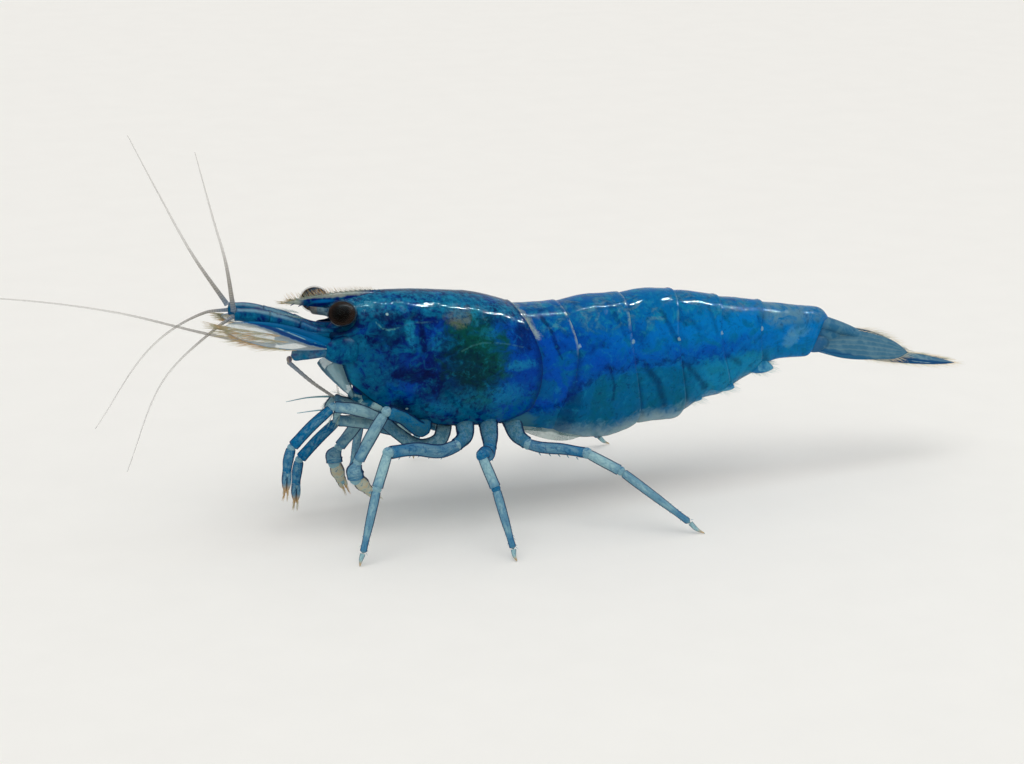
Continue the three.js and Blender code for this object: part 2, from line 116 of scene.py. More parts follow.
class ShrimpColours(bpy.types.PropertyGroup):
    """Colours of the shell, limbs and feelers."""
    navy: colour("Navy", "Darkest blue of the head and the shell's mottling", srgb(3, 32, 96))
    royal: colour("Royal blue", "Blue of the carapace's rear and the tail's flank", srgb(2, 70, 165))
    azure: colour("Azure", "Brighter blue towards the end of the tail", srgb(3, 118, 188))
    teal: colour("Teal", "Green-blue of the cheeks and the lower tail plates", srgb(6, 94, 128))
    green: colour("Green", "Dark green blotch where the stomach shows through", srgb(14, 76, 52))
    aqua: colour("Aqua", "Pale green-blue patches", srgb(30, 132, 164))
    cream: colour("Cream", "Pale edges, hinges and flecks", srgb(178, 196, 170))
    mist: colour("Mist", "Clear grey-blue skin of the limbs and plate rims", srgb(160, 197, 198))
    denim: colour("Leg blue", "Blue of the limbs and the tail fan", srgb(10, 102, 148))
    amber: colour("Amber", "Claws, brushes and the fringe of the antennal scale", srgb(200, 160, 98))
    feeler: colour("Feeler", "Grey-brown of the feelers", srgb(172, 168, 160))
    eye: colour("Eye", "Dark core of the eye", srgb(16, 9, 6))
    iris: colour("Eye ring", "Red-brown ring round the core of the eye", srgb(52, 38, 32))


class ShrimpStage(bpy.types.PropertyGroup):
    """Camera and light."""
    lens: bpy.props.FloatProperty(name="Lens", description="Focal length in millimetres", default=90)
    away: length("Distance", "From the camera to the middle of the view", 0.1)
    azimuth: bpy.props.FloatProperty(
        name="Azimuth", description="Direction the camera looks in from above", default=math.radians(70),
        unit="ROTATION")
    elevation: bpy.props.FloatProperty(
        name="Elevation", description="How far the camera looks down", default=math.radians(16),
        unit="ROTATION")
    aim: length("Aim", "Height of the middle of the view", 0.00498)
    floor: colour("Floor", "Pale floor", srgb(250, 247, 240))
    backdrop: colour("Backdrop", "What is seen past the floor", srgb(247, 246, 239))
    sky: bpy.props.FloatProperty(name="Sky", description="Soft light from all round", default=0.68, min=0)
    sun: bpy.props.FloatProperty(name="Sun", description="Strength of the broad soft sun", default=0.9, min=0)
    strip: bpy.props.FloatProperty(
        name="Strip", description="Radiance of the long thin lamp above the back", default=1300, min=0)


def sizes():
    return bpy.context.scene.shrimp_sizes


def colours():
    return bpy.context.scene.shrimp_colours


# ---- Curves and forms ---------------------------------------------------------------------------

def profile(*stops):
    """A smooth value over place through (place, value) stops, level past both ends."""
    def slope(index):
        rises = [(stops[k + 1][1] - stops[k][1]) / (stops[k + 1][0] - stops[k][0])
                 for k in (index - 1, index) if 0 <= k < len(stops) - 1]
        return sum(rises) / len(rises)
    slopes = [slope(index) for index in range(len(stops))]

    def value(place):
        if place <= stops[0][0]:
            return stops[0][1]
        if place >= stops[-1][0]:
            return stops[-1][1]
        i = next(k for k in range(len(stops) - 1) if place < stops[k + 1][0])
        (start, low), (end, high) = stops[i], stops[i + 1]
        span = end - start
        p = (place - start) / span
        return (low * (1 + 2 * p) * (1 - p) ** 2 + high * p * p * (3 - 2 * p)
                + span * p * (1 - p) * (slopes[i] * (1 - p) - slopes[i + 1] * p))
    return value


def path(*points):
    """A smooth line through the points, giving the spot at each share of its length."""
    reach = [0.0]
    for one, other in zip(points, points[1:]):
        reach.append(reach[-1] + (Vector(other) - Vector(one)).length)
    lanes = [profile(*((far / reach[-1], point[axis]) for far, point in zip(reach, points)))
             for axis in range(3)]
    return lambda t: Vector([lane(t) for lane in lanes])


def smooth(value, low=0.0, high=1.0):
    share = min(max((value - low) / (high - low), 0), 1)
    return share * share * (3 - 2 * share)


def signed_power(value, power):
    return math.copysign(abs(value) ** power, value)


def rounded(t, cap):
    """1 along the middle of a bar, closing to 0 over its last cap at both ends."""
    near = min(t, 1 - t)
    return 1.0 if near >= cap else math.sqrt(max(0.0, 1 - (1 - near / cap) ** 2))


def between(a, b, t):
    return Vector(a).lerp(Vector(b), t)


def flip(points, side):
    return [(x * side, y, z) for x, y, z in points]


# The shell's sections: back, lower margin and half width along the body, and each edge by height.
CARAPACE = {
    "top": profile((-7.6, 8.72), (-6.6, 9.0), (-5.5, 9.12), (-4, 9.04), (-2.1, 8.8), (-0.9, 8.5),
                   (0.4, 7.98)),
    "foot": profile((-7.6, 7.0), (-7, 6.03), (-6.3, 5.34), (-5.4, 4.67), (-4.4, 4.22), (-3, 3.92),
                    (-1.3, 3.86)),
    "half": profile((-7.6, 0.95), (-6.6, 1.35), (-5.4, 1.72), (-4, 1.98), (-2.5, 2.1), (-1, 2.1),
                    (0.4, 1.95)),
    "front": profile((0, -6.9), (0.1, -7.1), (0.25, -7.3), (0.45, -7.62), (0.56, -7.5), (0.68, -6.95),
                     (0.8, -6.62), (0.92, -6.85), (1, -7.6)),
    "rear": profile((0, -1.0), (0.1, -0.04), (0.25, 0.34), (0.45, 0.51), (0.65, 0.49), (0.83, 0.27),
                    (1, -0.08)),
}
PLEON = {
    "top": profile((0, 8.13), (1, 8.05), (2, 8.08), (3, 8.16), (4.3, 8.16), (5.8, 8.2), (7.2, 8.03),
                   (9, 7.64), (11, 7.26), (13.5, 6.82)),
    "foot": profile((0, 3.4), (1.2, 3.1), (2.4, 2.86), (3.4, 2.78), (4.4, 2.98), (5.4, 3.16), (6.6, 3.24),
                    (7.2, 3.6), (7.7, 3.84), (8.7, 4.02), (9.2, 4.3), (9.7, 4.54), (10.3, 4.74), (11, 4.92),
                    (13, 4.9)),
    "half": profile((0, 1.78), (1.5, 1.87), (3, 1.9), (5, 1.8), (7, 1.6), (9, 1.35), (10.6, 1.12),
                    (13.4, 0.8)),
}


def joint_line(back, hinge, margin):
    return profile((0, margin), (0.68, hinge), (1, back))


# The edges of the tail rings by height: the first ring's front, then each ring's rear.
PLEON_JOINTS = (
    profile((0, -0.2), (0.22, -0.35), (0.34, 0.09), (0.5, 0.37), (0.67, 0.41), (0.84, 0.25), (1, -0.08)),
    joint_line(1.84, 2.09, 1.0),
    joint_line(4.48, 4.38, 4.9),
    joint_line(6.7, 6.38, 6.9),
    joint_line(8.64, 8.28, 8.9),
    joint_line(10.57, 10.15, 10.3),
    joint_line(13.8, 13.38, 12.95),
)
# The lower side of the tail's muscle, over the space for the brood.
BROOD_CEILING = profile((-1, 5.2), (3, 5.3), (6, 5.5), (9, 5.9), (11, 6))
# Where each ring turns on the next, along the body and up.
HINGES = ((2.09, 6.65), (4.36, 6.64), (6.35, 6.54), (8.26, 6.54), (10.14, 6.5))
LIP = 0.028  # how far a ring's rear edge stands proud, as a share of its size
CURL = math.radians(156)  # how far round from the back the shell's sides reach
CLOSED_CURL = math.radians(179.5)  # the same on the last ring, which is closed below


def lumps(spot, size, amount):
    """A gentle unevenness of the shell, the same on every run."""
    return amount * noise.noise(spot / size)


def shell_height(angle, curl=CURL):
    """How high a place at an angle from the back stands: 1 on the midline, 0 at the lower margin."""
    floor = math.cos(curl)
    return (math.cos(angle) - floor) / (1 - floor)


def shell_spot(form, angle, height, y, swell, corner):
    """The spot on a shell at y, with its section grown by swell and its foot raised by corner."""
    low = form["foot"](y) + corner
    depth = form["top"](y) - low
    power = 0.9 if math.cos(angle) > 0 else 0.45
    x = form["half"](y) * swell * signed_power(math.sin(angle), power)
    return Vector((x, y, low + depth / 2 + depth * swell * (height - 0.5)))


def raised(spot, angle, bead, broad, fine):
    """The spot pushed out by a bead at the margin and by (size, amount) of broad and fine lumps."""
    out = Vector((math.sin(angle), 0, math.cos(angle)))
    return spot + out * (bead + lumps(spot, *broad) + lumps(spot, *fine))


def frame_at(line, stand, t, step=0.02):
    """Unit directions at a share t of a line: ahead, out towards stand, and across."""
    ahead = (line(min(t + step, 1)) - line(max(t - step, 0))).normalized()
    out = (Vector(stand) - ahead * ahead.dot(Vector(stand))).normalized()
    return ahead, out, out.cross(ahead)


# ---- Meshes -------------------------------------------------------------------------------------

WHOLE = ((0.0, 0.0), (1.0, 1.0))
BLUNT = 0.12  # radius of a bristle's tip, as a share of its root's
HAIR_PATCH = 0.0015  # half the side of the square that a bristle takes on its baking map
WELD = 0.0004  # how near two corners are made one


def strip_patch(index, count):
    """The share of the pattern map that the piece with this index takes along V."""
    return (0.0, index / count), (1.0, (index + 1) / count)


def place_object(name, data):
    """A new object in the scene."""
    made = bpy.data.objects.new(name, data)
    bpy.context.scene.collection.objects.link(made)
    return made


class Model:
    """The mesh of one piece while it is being made, in the layout's millimetres."""

    def __init__(self):
        self.bm = bmesh.new()
        self.pattern = self.bm.loops.layers.uv.new("Pattern")

    def repatch(self, verts, patch):
        (left, low), (right, high) = patch
        for face in {face for vert in verts for face in vert.link_faces}:
            for loop in face.loops:
                u, v = loop[self.pattern].uv
                loop[self.pattern].uv = (left + u * (right - left), low + v * (high - low))

    def lay(self, place, columns, rows, patch=WHOLE):
        """A grid whose every point is put by place(u, v)."""
        verts = bmesh.ops.create_grid(
            self.bm, x_segments=columns, y_segments=rows, size=0.5, calc_uvs=True)["verts"]
        self.repatch(verts, patch)
        for vert in verts:
            vert.co = place(min(max(vert.co.x + 0.5, 0), 1), min(max(vert.co.y + 0.5, 0), 1))

    def tube(self, line, side, width, depth, columns=14, rows=20, patch=WHOLE, turn=1):
        """A closed bar along a line. width and depth give its half sizes across and along side."""
        def place(u, v):
            _, out, across = frame_at(line, side, v, 0.01)
            angle = TURN * u
            return (line(v) + across * turn * (width(v) * math.cos(angle))
                    + out * (depth(v) * math.sin(angle)))
        self.lay(place, columns, rows, patch)

    def ball(self, centre, radii, patch=WHOLE, segments=12):
        """A small egg."""
        shape = Matrix.Translation(centre) @ Matrix.Diagonal((*radii, 1))
        verts = bmesh.ops.create_uvsphere(
            self.bm, u_segments=segments, v_segments=segments // 2 + 1, radius=1, matrix=shape,
            calc_uvs=True)["verts"]
        self.repatch(verts, patch)

    def spike(self, root, tip, radius, sides=4, patch=WHOLE):
        """A bristle, spine or tooth from root to a blunt tip."""
        reach = Vector(tip) - Vector(root)
        stand = reach.to_track_quat("Z", "Y").to_matrix().to_4x4()
        verts = bmesh.ops.create_cone(
            self.bm, cap_ends=True, segments=sides, radius1=radius, radius2=radius * BLUNT,
            depth=reach.length, matrix=Matrix.Translation((Vector(root) + Vector(tip)) / 2) @ stand,
            calc_uvs=True)["verts"]
        self.repatch(verts, patch)

    def hairs(self, roots_and_tips, stout=1.0):
        """Bristles, each baked as one small patch at its place along the fringe."""
        spread = list(roots_and_tips)
        for index, (root, tip) in enumerate(spread):
            u = 0.02 + 0.96 * (index + 0.5) / len(spread)
            patch = tuple((u + half, 0.5 + half) for half in (-HAIR_PATCH, HAIR_PATCH))
            self.spike(root, tip, sizes().hair / MM * stout, sides=3, patch=patch)

    def finish(self, name, material, slot, replaces=(), wall=0.0, loose=False):
        """Closes the seams and poles, moves the mesh into the frame and makes the piece.

        A piece of loose bristles has no seams, and brings the map that it is baked by.
        """
        if not loose:
            bmesh.ops.remove_doubles(self.bm, verts=self.bm.verts, dist=WELD)
        bmesh.ops.recalc_face_normals(self.bm, faces=self.bm.faces)
        bmesh.ops.transform(self.bm, matrix=TO_FRAME, verts=self.bm.verts)
        mesh = bpy.data.meshes.new(name)
        self.bm.to_mesh(mesh)
        self.bm.free()
        mesh.shade_smooth()
        if loose:
            mesh.uv_layers["Pattern"].name = "OFBake"
        piece = place_object(name, mesh)
        mesh.materials.append(material)
        if wall:
            thick = piece.modifiers.new("Wall", "SOLIDIFY")
            thick.thickness = wall
            thick.offset = -1
            thick.use_even_offset = False
        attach(piece, "root")
        if replaces:
            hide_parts(*replaces)
        return piece


def bristles(name, skin, tint, slot, roots_and_tips, stout=1.0):
    """A piece of loose bristles, with a skin of its own."""
    model = Model()
    model.hairs(roots_and_tips, stout)
    model.finish(name, hair_finish(skin, tint), slot, loose=True)


# ---- Materials ----------------------------------------------------------------------------------

def both_ways(operation):
    """The methods of an operator on sockets: as written, and reflected."""
    return (lambda self, other: self.maths(operation, self, other),
            lambda self, other: self.maths(operation, other, self))


class Value:
    """A shader socket that takes part in Python expressions."""

    def __init__(self, paint, socket):
        self.paint = paint
        self.socket = socket

    def maths(self, operation, *given):
        return self.paint.node("ShaderNodeMath", {"operation": operation}, dict(enumerate(given)))

    __add__, __radd__ = both_ways("ADD")
    __sub__, __rsub__ = both_ways("SUBTRACT")
    __mul__, __rmul__ = both_ways("MULTIPLY")
    __truediv__, __rtruediv__ = both_ways("DIVIDE")
    __pow__, __rpow__ = both_ways("POWER")

    def __abs__(self):
        return self.maths("ABSOLUTE", self)

    def sine(self):
        return self.maths("SINE", self)

    def fraction(self):
        return self.maths("FRACT", self)

    def least(self, other):
        return self.maths("MINIMUM", self, other)

    def most(self, other):
        return self.maths("MAXIMUM", self, other)


class Paint:
    """One material and its nodes. base is its colour so far, which later coats go over."""

    def __init__(self, name):
        self.base = None
        self.material = bpy.data.materials.new(name)
        self.material.use_nodes = True
        self.tree = self.material.node_tree
        self.tree.nodes.clear()
        where = self.node("ShaderNodeTexCoord", output="Object")
        self.spot = self.node(
            "ShaderNodeVectorMath", {"operation": "MULTIPLY_ADD"},
            {0: where, 1: (1 / MM,) * 3, 2: -SHIFT / MM})
        self.x, self.y, self.z = self.parts(self.spot)

    def node(self, kind, settings=None, sockets=None, output=0):
        """Any node: its settings first, then the values or links of its sockets, and one output.

        A node that ends the tree has no output, and output is None.
        """
        made = self.tree.nodes.new(kind)
        for key, value in (settings or {}).items():
            setattr(made, key, value)
        for key, value in (sockets or {}).items():
            if isinstance(value, Value):
                self.tree.links.new(value.socket, made.inputs[key])
            else:
                made.inputs[key].default_value = value
        return None if output is None else Value(self, made.outputs[output])

    def parts(self, vector):
        split = self.node("ShaderNodeSeparateXYZ", None, {0: vector})
        return [Value(self, split.socket.node.outputs[axis]) for axis in range(3)]

    def map(self):
        """U and V of the piece's own pattern map."""
        u, v, _ = self.parts(self.node("ShaderNodeUVMap", {"uv_map": "Pattern"}))
        return u, v

    def fade(self, value, low, high):
        """0 below low, 1 above high, smooth between; falls instead where low is above high."""
        if low > high:
            return 1 - self.fade(value, high, low)
        return self.node("ShaderNodeMapRange", {"interpolation_type": "SMOOTHSTEP"},
                         {0: value, 1: low, 2: high, 3: 0.0, 4: 1.0})

    def noise(self, scale, detail=3.0, rough=0.55, twist=0.0, stretch=None):
        """Noise with features of about 1 / scale millimetres."""
        spot = self.spot
        if stretch:
            spot = self.node("ShaderNodeVectorMath", {"operation": "MULTIPLY"}, {0: spot, 1: stretch})
        return self.node("ShaderNodeTexNoise", None, {
            "Vector": spot, "Scale": scale, "Detail": detail, "Roughness": rough, "Distortion": twist})

    def wash(self, across, along):
        """Soft patches that lie on a limb by its own map, like washed ink."""
        spot = self.node("ShaderNodeCombineXYZ", None, {0: across, 1: along})
        return self.node("ShaderNodeTexNoise", None, {
            "Vector": spot, "Scale": 1.0, "Detail": 3.0, "Roughness": 0.6, "Distortion": 0.8})

    def mix(self, one, other, share):
        """Colours one to other by share."""
        def socketed(value):
            return value if isinstance(value, Value) else (*value, 1.0)
        return self.node("ShaderNodeMix", {"data_type": "RGBA"},
                         {0: share, 6: socketed(one), 7: socketed(other)}, output=2)

    def coat(self, tint, share):
        """Lays a tint over the base by share."""
        self.base = self.mix(self.base, tint, share)

    def side_spot(self, centre, radii, soft, wobble=0.0, warp=None):
        """A blotch seen from the side, at the same place on both flanks."""
        y = (self.y - centre[0]) / radii[0]
        z = (self.z - centre[1]) / radii[1]
        far = y * y + z * z
        if wobble:
            far = far + (warp - 0.5) * wobble
        return self.fade(far, 1 + soft, 1 - soft)

    def side_stroke(self, start, end, width, warp):
        """A straight stroke on the flank from start to end, fading out across its width."""
        span = (end[0] - start[0], end[1] - start[1])
        reach = span[0] ** 2 + span[1] ** 2
        y, z = self.y - start[0], self.z - start[1]
        share = ((y * span[0] + z * span[1]) / reach).most(0).least(1)
        y, z = y - share * span[0], z - share * span[1]
        off = (y * y + z * z) ** 0.5 + (warp - 0.5) * 0.7
        return self.fade(off, width, 0.0)

    def side_line(self, points, width, warp):
        """Strokes on the flank from each point to the next."""
        line = self.side_stroke(points[0], points[1], width, warp)
        for start, end in zip(points[1:], points[2:]):
            line = line.most(self.side_stroke(start, end, width, warp))
        return line

    def bump(self, height, depth, strength, under=None):
        sockets = {"Height": height, "Distance": depth, "Strength": strength}
        if under:
            sockets["Normal"] = under
        return self.node("ShaderNodeBump", None, sockets)

    def shade(self, rough, gloss=0.04, alpha=None, normal=None):
        """The shader: colour, roughness, alpha and normal may vary, the rest is the same all over."""
        sockets = {"Base Color": self.base, "Roughness": rough, "Specular IOR Level": gloss}
        if alpha is not None:
            sockets["Alpha"] = alpha
        if normal:
            sockets["Normal"] = normal
        shader = self.node("ShaderNodeBsdfPrincipled", None, sockets)
        self.node("ShaderNodeOutputMaterial", None, {"Surface": shader}, output=None)
        return self.material


# Beige flecks, and the pale of the carapace's folds with painted glints along them.
BEIGE, FOLD_AND_GLINT = srgb(132, 132, 100), srgb(84, 150, 152)
CLEAR_FLANK = srgb(62, 114, 130)
ROOT_GREY = srgb(56, 98, 106)
TAIL_JOINT = srgb(20, 84, 140)


def shell_bump(paint):
    """Fine crinkles over broader ripples, which break the lamp's reflection."""
    ripples = paint.bump(paint.noise(1.9, 1.0), 0.022 * MM, 0.5)
    return paint.bump(paint.noise(4.5, 1.0, 0.5), 0.006 * MM, 0.7, ripples)


def shell_rough(paint):
    """Glossy skin with duller patches, so that reflections come and go."""
    return paint.fade(paint.noise(3.4, 4.0, 0.7, 0.5), 0.57, 0.63) * 0.4 + 0.01


def carapace_finish():
    paint = Paint("CarapaceShell")
    tone, fade = colours(), paint.fade
    ink = toned(tone.navy, 0.3)
    broad = paint.noise(0.8, 3.0, 0.6, 0.8)
    cloud = paint.noise(1.5, 4.0, 0.62, 1.0, (1.0, 0.8, 1.3))
    mottle = paint.noise(3.0, 5.0, 0.66, 0.6)
    fine = paint.noise(6.5, 4.0, 0.72, 0.4)
    u, v = paint.map()
    paint.base = paint.mix(tone.navy, tone.royal, fade(broad, 0.45, 0.68) * 0.7)
    paint.coat(tone.teal, fade(cloud, 0.46, 0.64) * 0.75)
    # Teal on the cheek and the lower flank, royal blue towards the rear.
    cheek = fade(paint.y + (cloud - 0.5) * 3, -4.8, -6.6)
    paint.coat(tone.teal, cheek * fade(mottle, 0.38, 0.54) * 0.75)
    rear = fade(paint.y + (cloud - 0.5) * 2, -1.9, -0.9)
    paint.coat(tone.royal, rear * 0.7)
    lower = fade(paint.z + (mottle - 0.5) * 2.0, 5.9, 4.8)
    paint.coat(tone.teal, lower * fade(mottle, 0.42, 0.56) * 0.7)
    # Deep green where the stomach shows, with beige flecks over it.
    stomach = paint.side_spot((-2.1, 6.75), (1.25, 1.6), 0.8, 4.5, cloud)
    paint.coat(tone.green, stomach * 0.85)
    shade = paint.side_spot((-2.75, 6.0), (1.2, 1.3), 0.9, 4.0, mottle)
    paint.coat(ink, shade * 0.6)
    fleck = paint.side_spot((-2.65, 8.22), (0.5, 0.34), 0.95, 4.5, mottle)
    paint.coat(BEIGE, fleck * (fade(fine, 0.32, 0.66) * 0.7 + 0.3) * 0.45)
    # Pale patches: a long one behind the cheek and a few towards the rear.
    for centre, radii, share in (
        ((-4.66, 7.78), (0.19, 0.5), 0.75),
        ((-0.34, 6.24), (0.6, 0.2), 0.6),
        ((-2.02, 8.2), (0.14, 0.32), 0.6),
        ((-1.6, 7.55), (0.4, 0.2), 0.3),
        ((-0.9, 5.15), (0.6, 0.4), 0.4),
        ((-2.4, 5.0), (1.3, 0.45), 0.3),
        ((-3.9, 4.75), (0.8, 0.25), 0.35),
        ((-3.7, 7.35), (0.35, 0.3), 0.25),
        ((-6.3, 8.5), (0.4, 0.2), 0.25),
    ):
        patch = paint.side_spot(centre, radii, 0.75, 4.5, mottle)
        paint.coat(tone.aqua, patch * (fade(fine, 0.36, 0.6) * 0.7 + 0.3) * share)
    # Dark patches round them and along the back.
    for centre, radii in (
        ((-5.2, 8.4), (0.9, 0.2)),
        ((-5.6, 7.7), (0.7, 0.4)),
        ((-4.6, 6.2), (0.75, 0.3)),
        ((-5.05, 4.95), (0.3, 0.4)),
        ((-4.22, 7.6), (0.12, 0.55)),
        ((-3.4, 7.2), (0.16, 0.25)),
        ((-1.0, 8.1), (0.9, 0.3)),
        ((-0.2, 7.2), (0.4, 0.6)),
    ):
        paint.coat(ink, paint.side_spot(centre, radii, 0.9, 4.5, mottle) * 0.6)
    # Thin pale lines of folds, behind the eye and over the stomach: partly the folds' own pale colour, partly
    # painted glints along them.
    for points, share in (
        (((-5.89, 8.22), (-5.7, 8.01), (-5.47, 7.94), (-5.24, 7.97)), 0.32),
        (((-5.24, 7.97), (-4.8, 8.09), (-4.36, 8.15), (-3.57, 8.11)), 0.14),
        (((-2.75, 7.0), (-2.34, 7.16), (-1.93, 7.23), (-1.37, 7.19), (-0.86, 7.09), (-0.24, 6.9)), 0.11),
        (((-2.35, 8.8), (-2.25, 8.59), (-2.04, 8.47)), 0.16),
    ):
        line = paint.side_line(points, 0.055, (fine - 0.5) * 0.2 + 0.5)
        paint.coat(FOLD_AND_GLINT, line * fade(mottle, 0.38, 0.56) * (share * 1.9))
    # Painted highlight: small pale glints behind the eye.
    glints = paint.side_spot((-6.2, 8.8), (0.4, 0.2), 0.8) * fade(fine, 0.54, 0.6)
    paint.coat(tone.mist, glints * 0.7)
    # The back's paler strip, either side of the midline: painted sky reflection along the upper side, broken
    # up into teal and aqua flecks.
    off_middle = abs(u - 0.5)
    back = fade(off_middle, 0.16, 0.09)
    paint.coat(tone.teal, back * (fade(cloud, 0.4, 0.6) * 0.45 + 0.15))
    paint.coat(tone.aqua, back * fade(mottle, 0.46, 0.6) * 0.4)
    paint.coat(tone.aqua, back * fade(fine, 0.46, 0.6) * 0.5)
    paint.coat(tone.aqua, fade(mottle, 0.54, 0.72) * 0.27)
    paint.coat(tone.aqua, fade(fine, 0.55, 0.75) * 0.2)
    paint.coat(ink, fade(mottle, 0.45, 0.28) * 0.45)
    paint.coat(ink, fade(fine, 0.48, 0.3) * 0.45)
    for spot in ((-5.43, 8.48), (-4.8, 4.81)):
        paint.coat(tone.mist, paint.side_spot(spot, (0.05, 0.04), 0.8, 3.0, fine) * 0.8)
    # Margins: a dark line, with a paler band inside it low on the front, and a dark midline, which is painted
    # shade for the dark outline of the back seen from the side.
    low = fade(off_middle, 0.3, 0.36)
    paint.coat(tone.aqua, fade(v + (mottle - 0.5) * 0.06, 0.1, 0.04) * low * 0.35)
    rim = fade(v, 0.034, 0.01).most(fade(off_middle, 0.482, 0.495))
    rim = rim.most(fade(v + (mottle - 0.5) * 0.03, 0.955, 1.0) * 0.65)
    # Painted shade: the dark line along the midline.
    rim = rim.most(fade(off_middle, 0.022, 0.006) * 0.7)
    paint.coat(ink, rim * 0.8)
    return paint.shade(rough=shell_rough(paint), normal=shell_bump(paint))


def pleon_finish():
    paint = Paint("PleonShell")
    tone, fade = colours(), paint.fade
    ink = toned(tone.navy, 0.4)
    broad = paint.noise(0.8, 3.0, 0.6, 0.6)
    cloud = paint.noise(1.4, 4.0, 0.6, 0.9, (1.0, 0.9, 1.2))
    mottle = paint.noise(2.8, 5.0, 0.64, 0.5)
    fine = paint.noise(6.0, 4.0, 0.7, 0.3)
    u, v = paint.map()
    side = abs(u - 0.5) * 2
    paint.base = paint.mix(tone.royal, tone.azure, fade(paint.y, -0.5, 8.5) * 0.9)
    paint.coat(tone.navy, fade(broad, 0.48, 0.3) * 0.5)
    paint.coat(tone.teal, fade(cloud, 0.46, 0.62) * 0.6)
    # The paler back: its teal is painted sky reflection along the upper side, with beige and green-blue
    # flecks.
    upper = fade(paint.z + (mottle - 0.5) * 1.2, 6.9, 7.7)
    paint.coat(tone.teal, upper * 0.45)
    paint.coat(tone.aqua, upper * fade(mottle, 0.46, 0.64) * 0.5)
    paint.coat(tone.cream, upper * fade(cloud, 0.5, 0.66) * fade(fine, 0.3, 0.6) * 0.14)
    # Teal side plates under a deep blue band. The band drops towards the front.
    edge = 5.55 - fade(paint.y, 3.2, 0.9) * 1.3 + fade(paint.y, 7.0, 10.0) * 0.1
    level = paint.z + (cloud - 0.5) * 1.3 - edge
    plates = fade(level, 0.05, -0.3)
    band = fade(abs(level - 0.35), 0.55, 0.1) * fade(paint.y, 12.0, 8.0)
    paint.coat(tone.royal, band * (fade(broad, 0.4, 0.6) * 0.4 + 0.35))
    edge_line = fade(abs(level - 0.1), 0.26, 0.0) * fade(mottle, 0.35, 0.55)
    paint.coat(ink, edge_line * fade(paint.y, 9.5, 6.5) * 0.55)
    paint.coat(tone.teal, plates * 0.75)
    paint.coat(tone.green, plates * fade(broad, 0.45, 0.6) * 0.22)
    rear_plates = plates * fade(paint.y, 6.6, 8.0)
    paint.coat(tone.azure, rear_plates * fade(cloud, 0.35, 0.55) * 0.7)
    paint.coat(tone.aqua, rear_plates * fade(paint.y, 11.0, 10.2) * (fine * 0.6 + 0.2))
    # Painted shade: each ring darkens where it comes out from under the one before.
    under_ring_shade = fade(v + (mottle - 0.5) * 0.08, 0.26, 0.16) * fade(side, 0.55, 0.7)
    paint.coat(ink, under_ring_shade * fade(paint.y, 0.9, 1.5) * 0.4)
    # Dark strokes across the plates.
    for points, width, share in (
        (((0.84, 7.76), (1.11, 7.28), (1.27, 6.55), (1.4, 6.24)), 0.1, 0.7),
        (((3.37, 5.7), (3.54, 5.02), (3.52, 4.45)), 0.13, 0.65),
        (((4.95, 5.56), (5.48, 4.82), (5.8, 3.9)), 0.26, 0.6),
        (((6.85, 5.33), (7.33, 4.79), (7.65, 4.36)), 0.24, 0.6),
        (((5.77, 7.59), (6.14, 6.87), (6.3, 6.5)), 0.16, 0.5),
        (((2.15, 6.3), (1.75, 4.6)), 0.28, 0.45),
        (((8.6, 5.6), (9.2, 5.2)), 0.2, 0.45),
        (((3.7, 8.0), (4.1, 6.9)), 0.14, 0.35),
        (((7.9, 7.6), (8.1, 6.6)), 0.14, 0.35),
    ):
        line = paint.side_line(points, width, (cloud - 0.5) * 0.35 + 0.5)
        paint.coat(ink, line * (fade(mottle, 0.36, 0.56) * 0.4 + 0.6) * share)
    # The last ring: grey-green above, pale blotches on the flank, bright and deep blue at its end.
    last = fade(paint.y, 10.0, 11.0)
    paint.coat(tone.teal, last * fade(paint.z, 6.3, 6.7) * 0.5)
    for centre, radii in (((11.5, 5.85), (0.3, 0.26)), ((11.95, 6.2), (0.42, 0.24))):
        pale = paint.side_spot(centre, radii, 0.95, 7.0, cloud)
        paint.coat(paint.mix(tone.aqua, tone.mist, 0.3), pale * (mottle * 0.6 + 0.1))
    paint.coat(tone.mist, last * fade(paint.z, 6.3, 6.8) * fade(cloud, 0.4, 0.6) * 0.25)
    for centre, radii, depth in (((12.8, 5.35), (0.45, 0.4), 0.1), ((13.5, 6.0), (0.5, 0.45), 0.5)):
        deep = paint.mix(tone.azure, ink, depth)
        paint.coat(deep, paint.side_spot(centre, radii, 0.8, 2.5, mottle) * 0.6)
    paint.coat(tone.aqua, fade(mottle, 0.54, 0.72) * 0.4)
    paint.coat(tone.aqua, fade(fine, 0.55, 0.75) * 0.2)
    paint.coat(ink, fade(mottle, 0.44, 0.28) * 0.4)
    paint.coat(ink, fade(fine, 0.46, 0.3) * 0.35)
    clear = paint.side_spot((-0.15, 3.8), (0.5, 0.36), 0.9, 3.0, mottle)
    paint.coat(CLEAR_FLANK, clear * 0.75)
    # A cream strip just behind the carapace, and pale hinge lines on the back.
    strip = paint.side_stroke((-0.16, 8.38), (0.5, 7.14), 0.2, mottle)
    paint.coat(tone.cream, strip * (fade(fine, 0.35, 0.6) * 0.5 + 0.5) * 0.6)
    hinge_line = fade(v + (mottle - 0.5) * 0.03, 0.945, 0.99) * fade(side, 0.5, 0.3)
    hinge_line = hinge_line * fade(paint.y, 8.0, 1.5)
    paint.coat(tone.cream, hinge_line * fade(mottle, 0.38, 0.6) * 0.5)
    for y, z in HINGES:
        paint.coat(tone.mist, paint.side_spot((y + 0.05, z), (0.075, 0.075), 0.8, 6.0, fine) * 0.6)
    rim = fade(side + (mottle - 0.5) * 0.2, 0.82, 0.98) * fade(paint.y, 0.6, 2.4)
    paint.coat(tone.mist, rim * fade(paint.y, 7.4, 6.4) * 0.5)
    paint.coat(ink, fade(side, 0.985, 0.998) * 0.5)
    alpha = 1 - rim * 0.3
    return paint.shade(rough=shell_rough(paint), alpha=alpha, normal=shell_bump(paint))


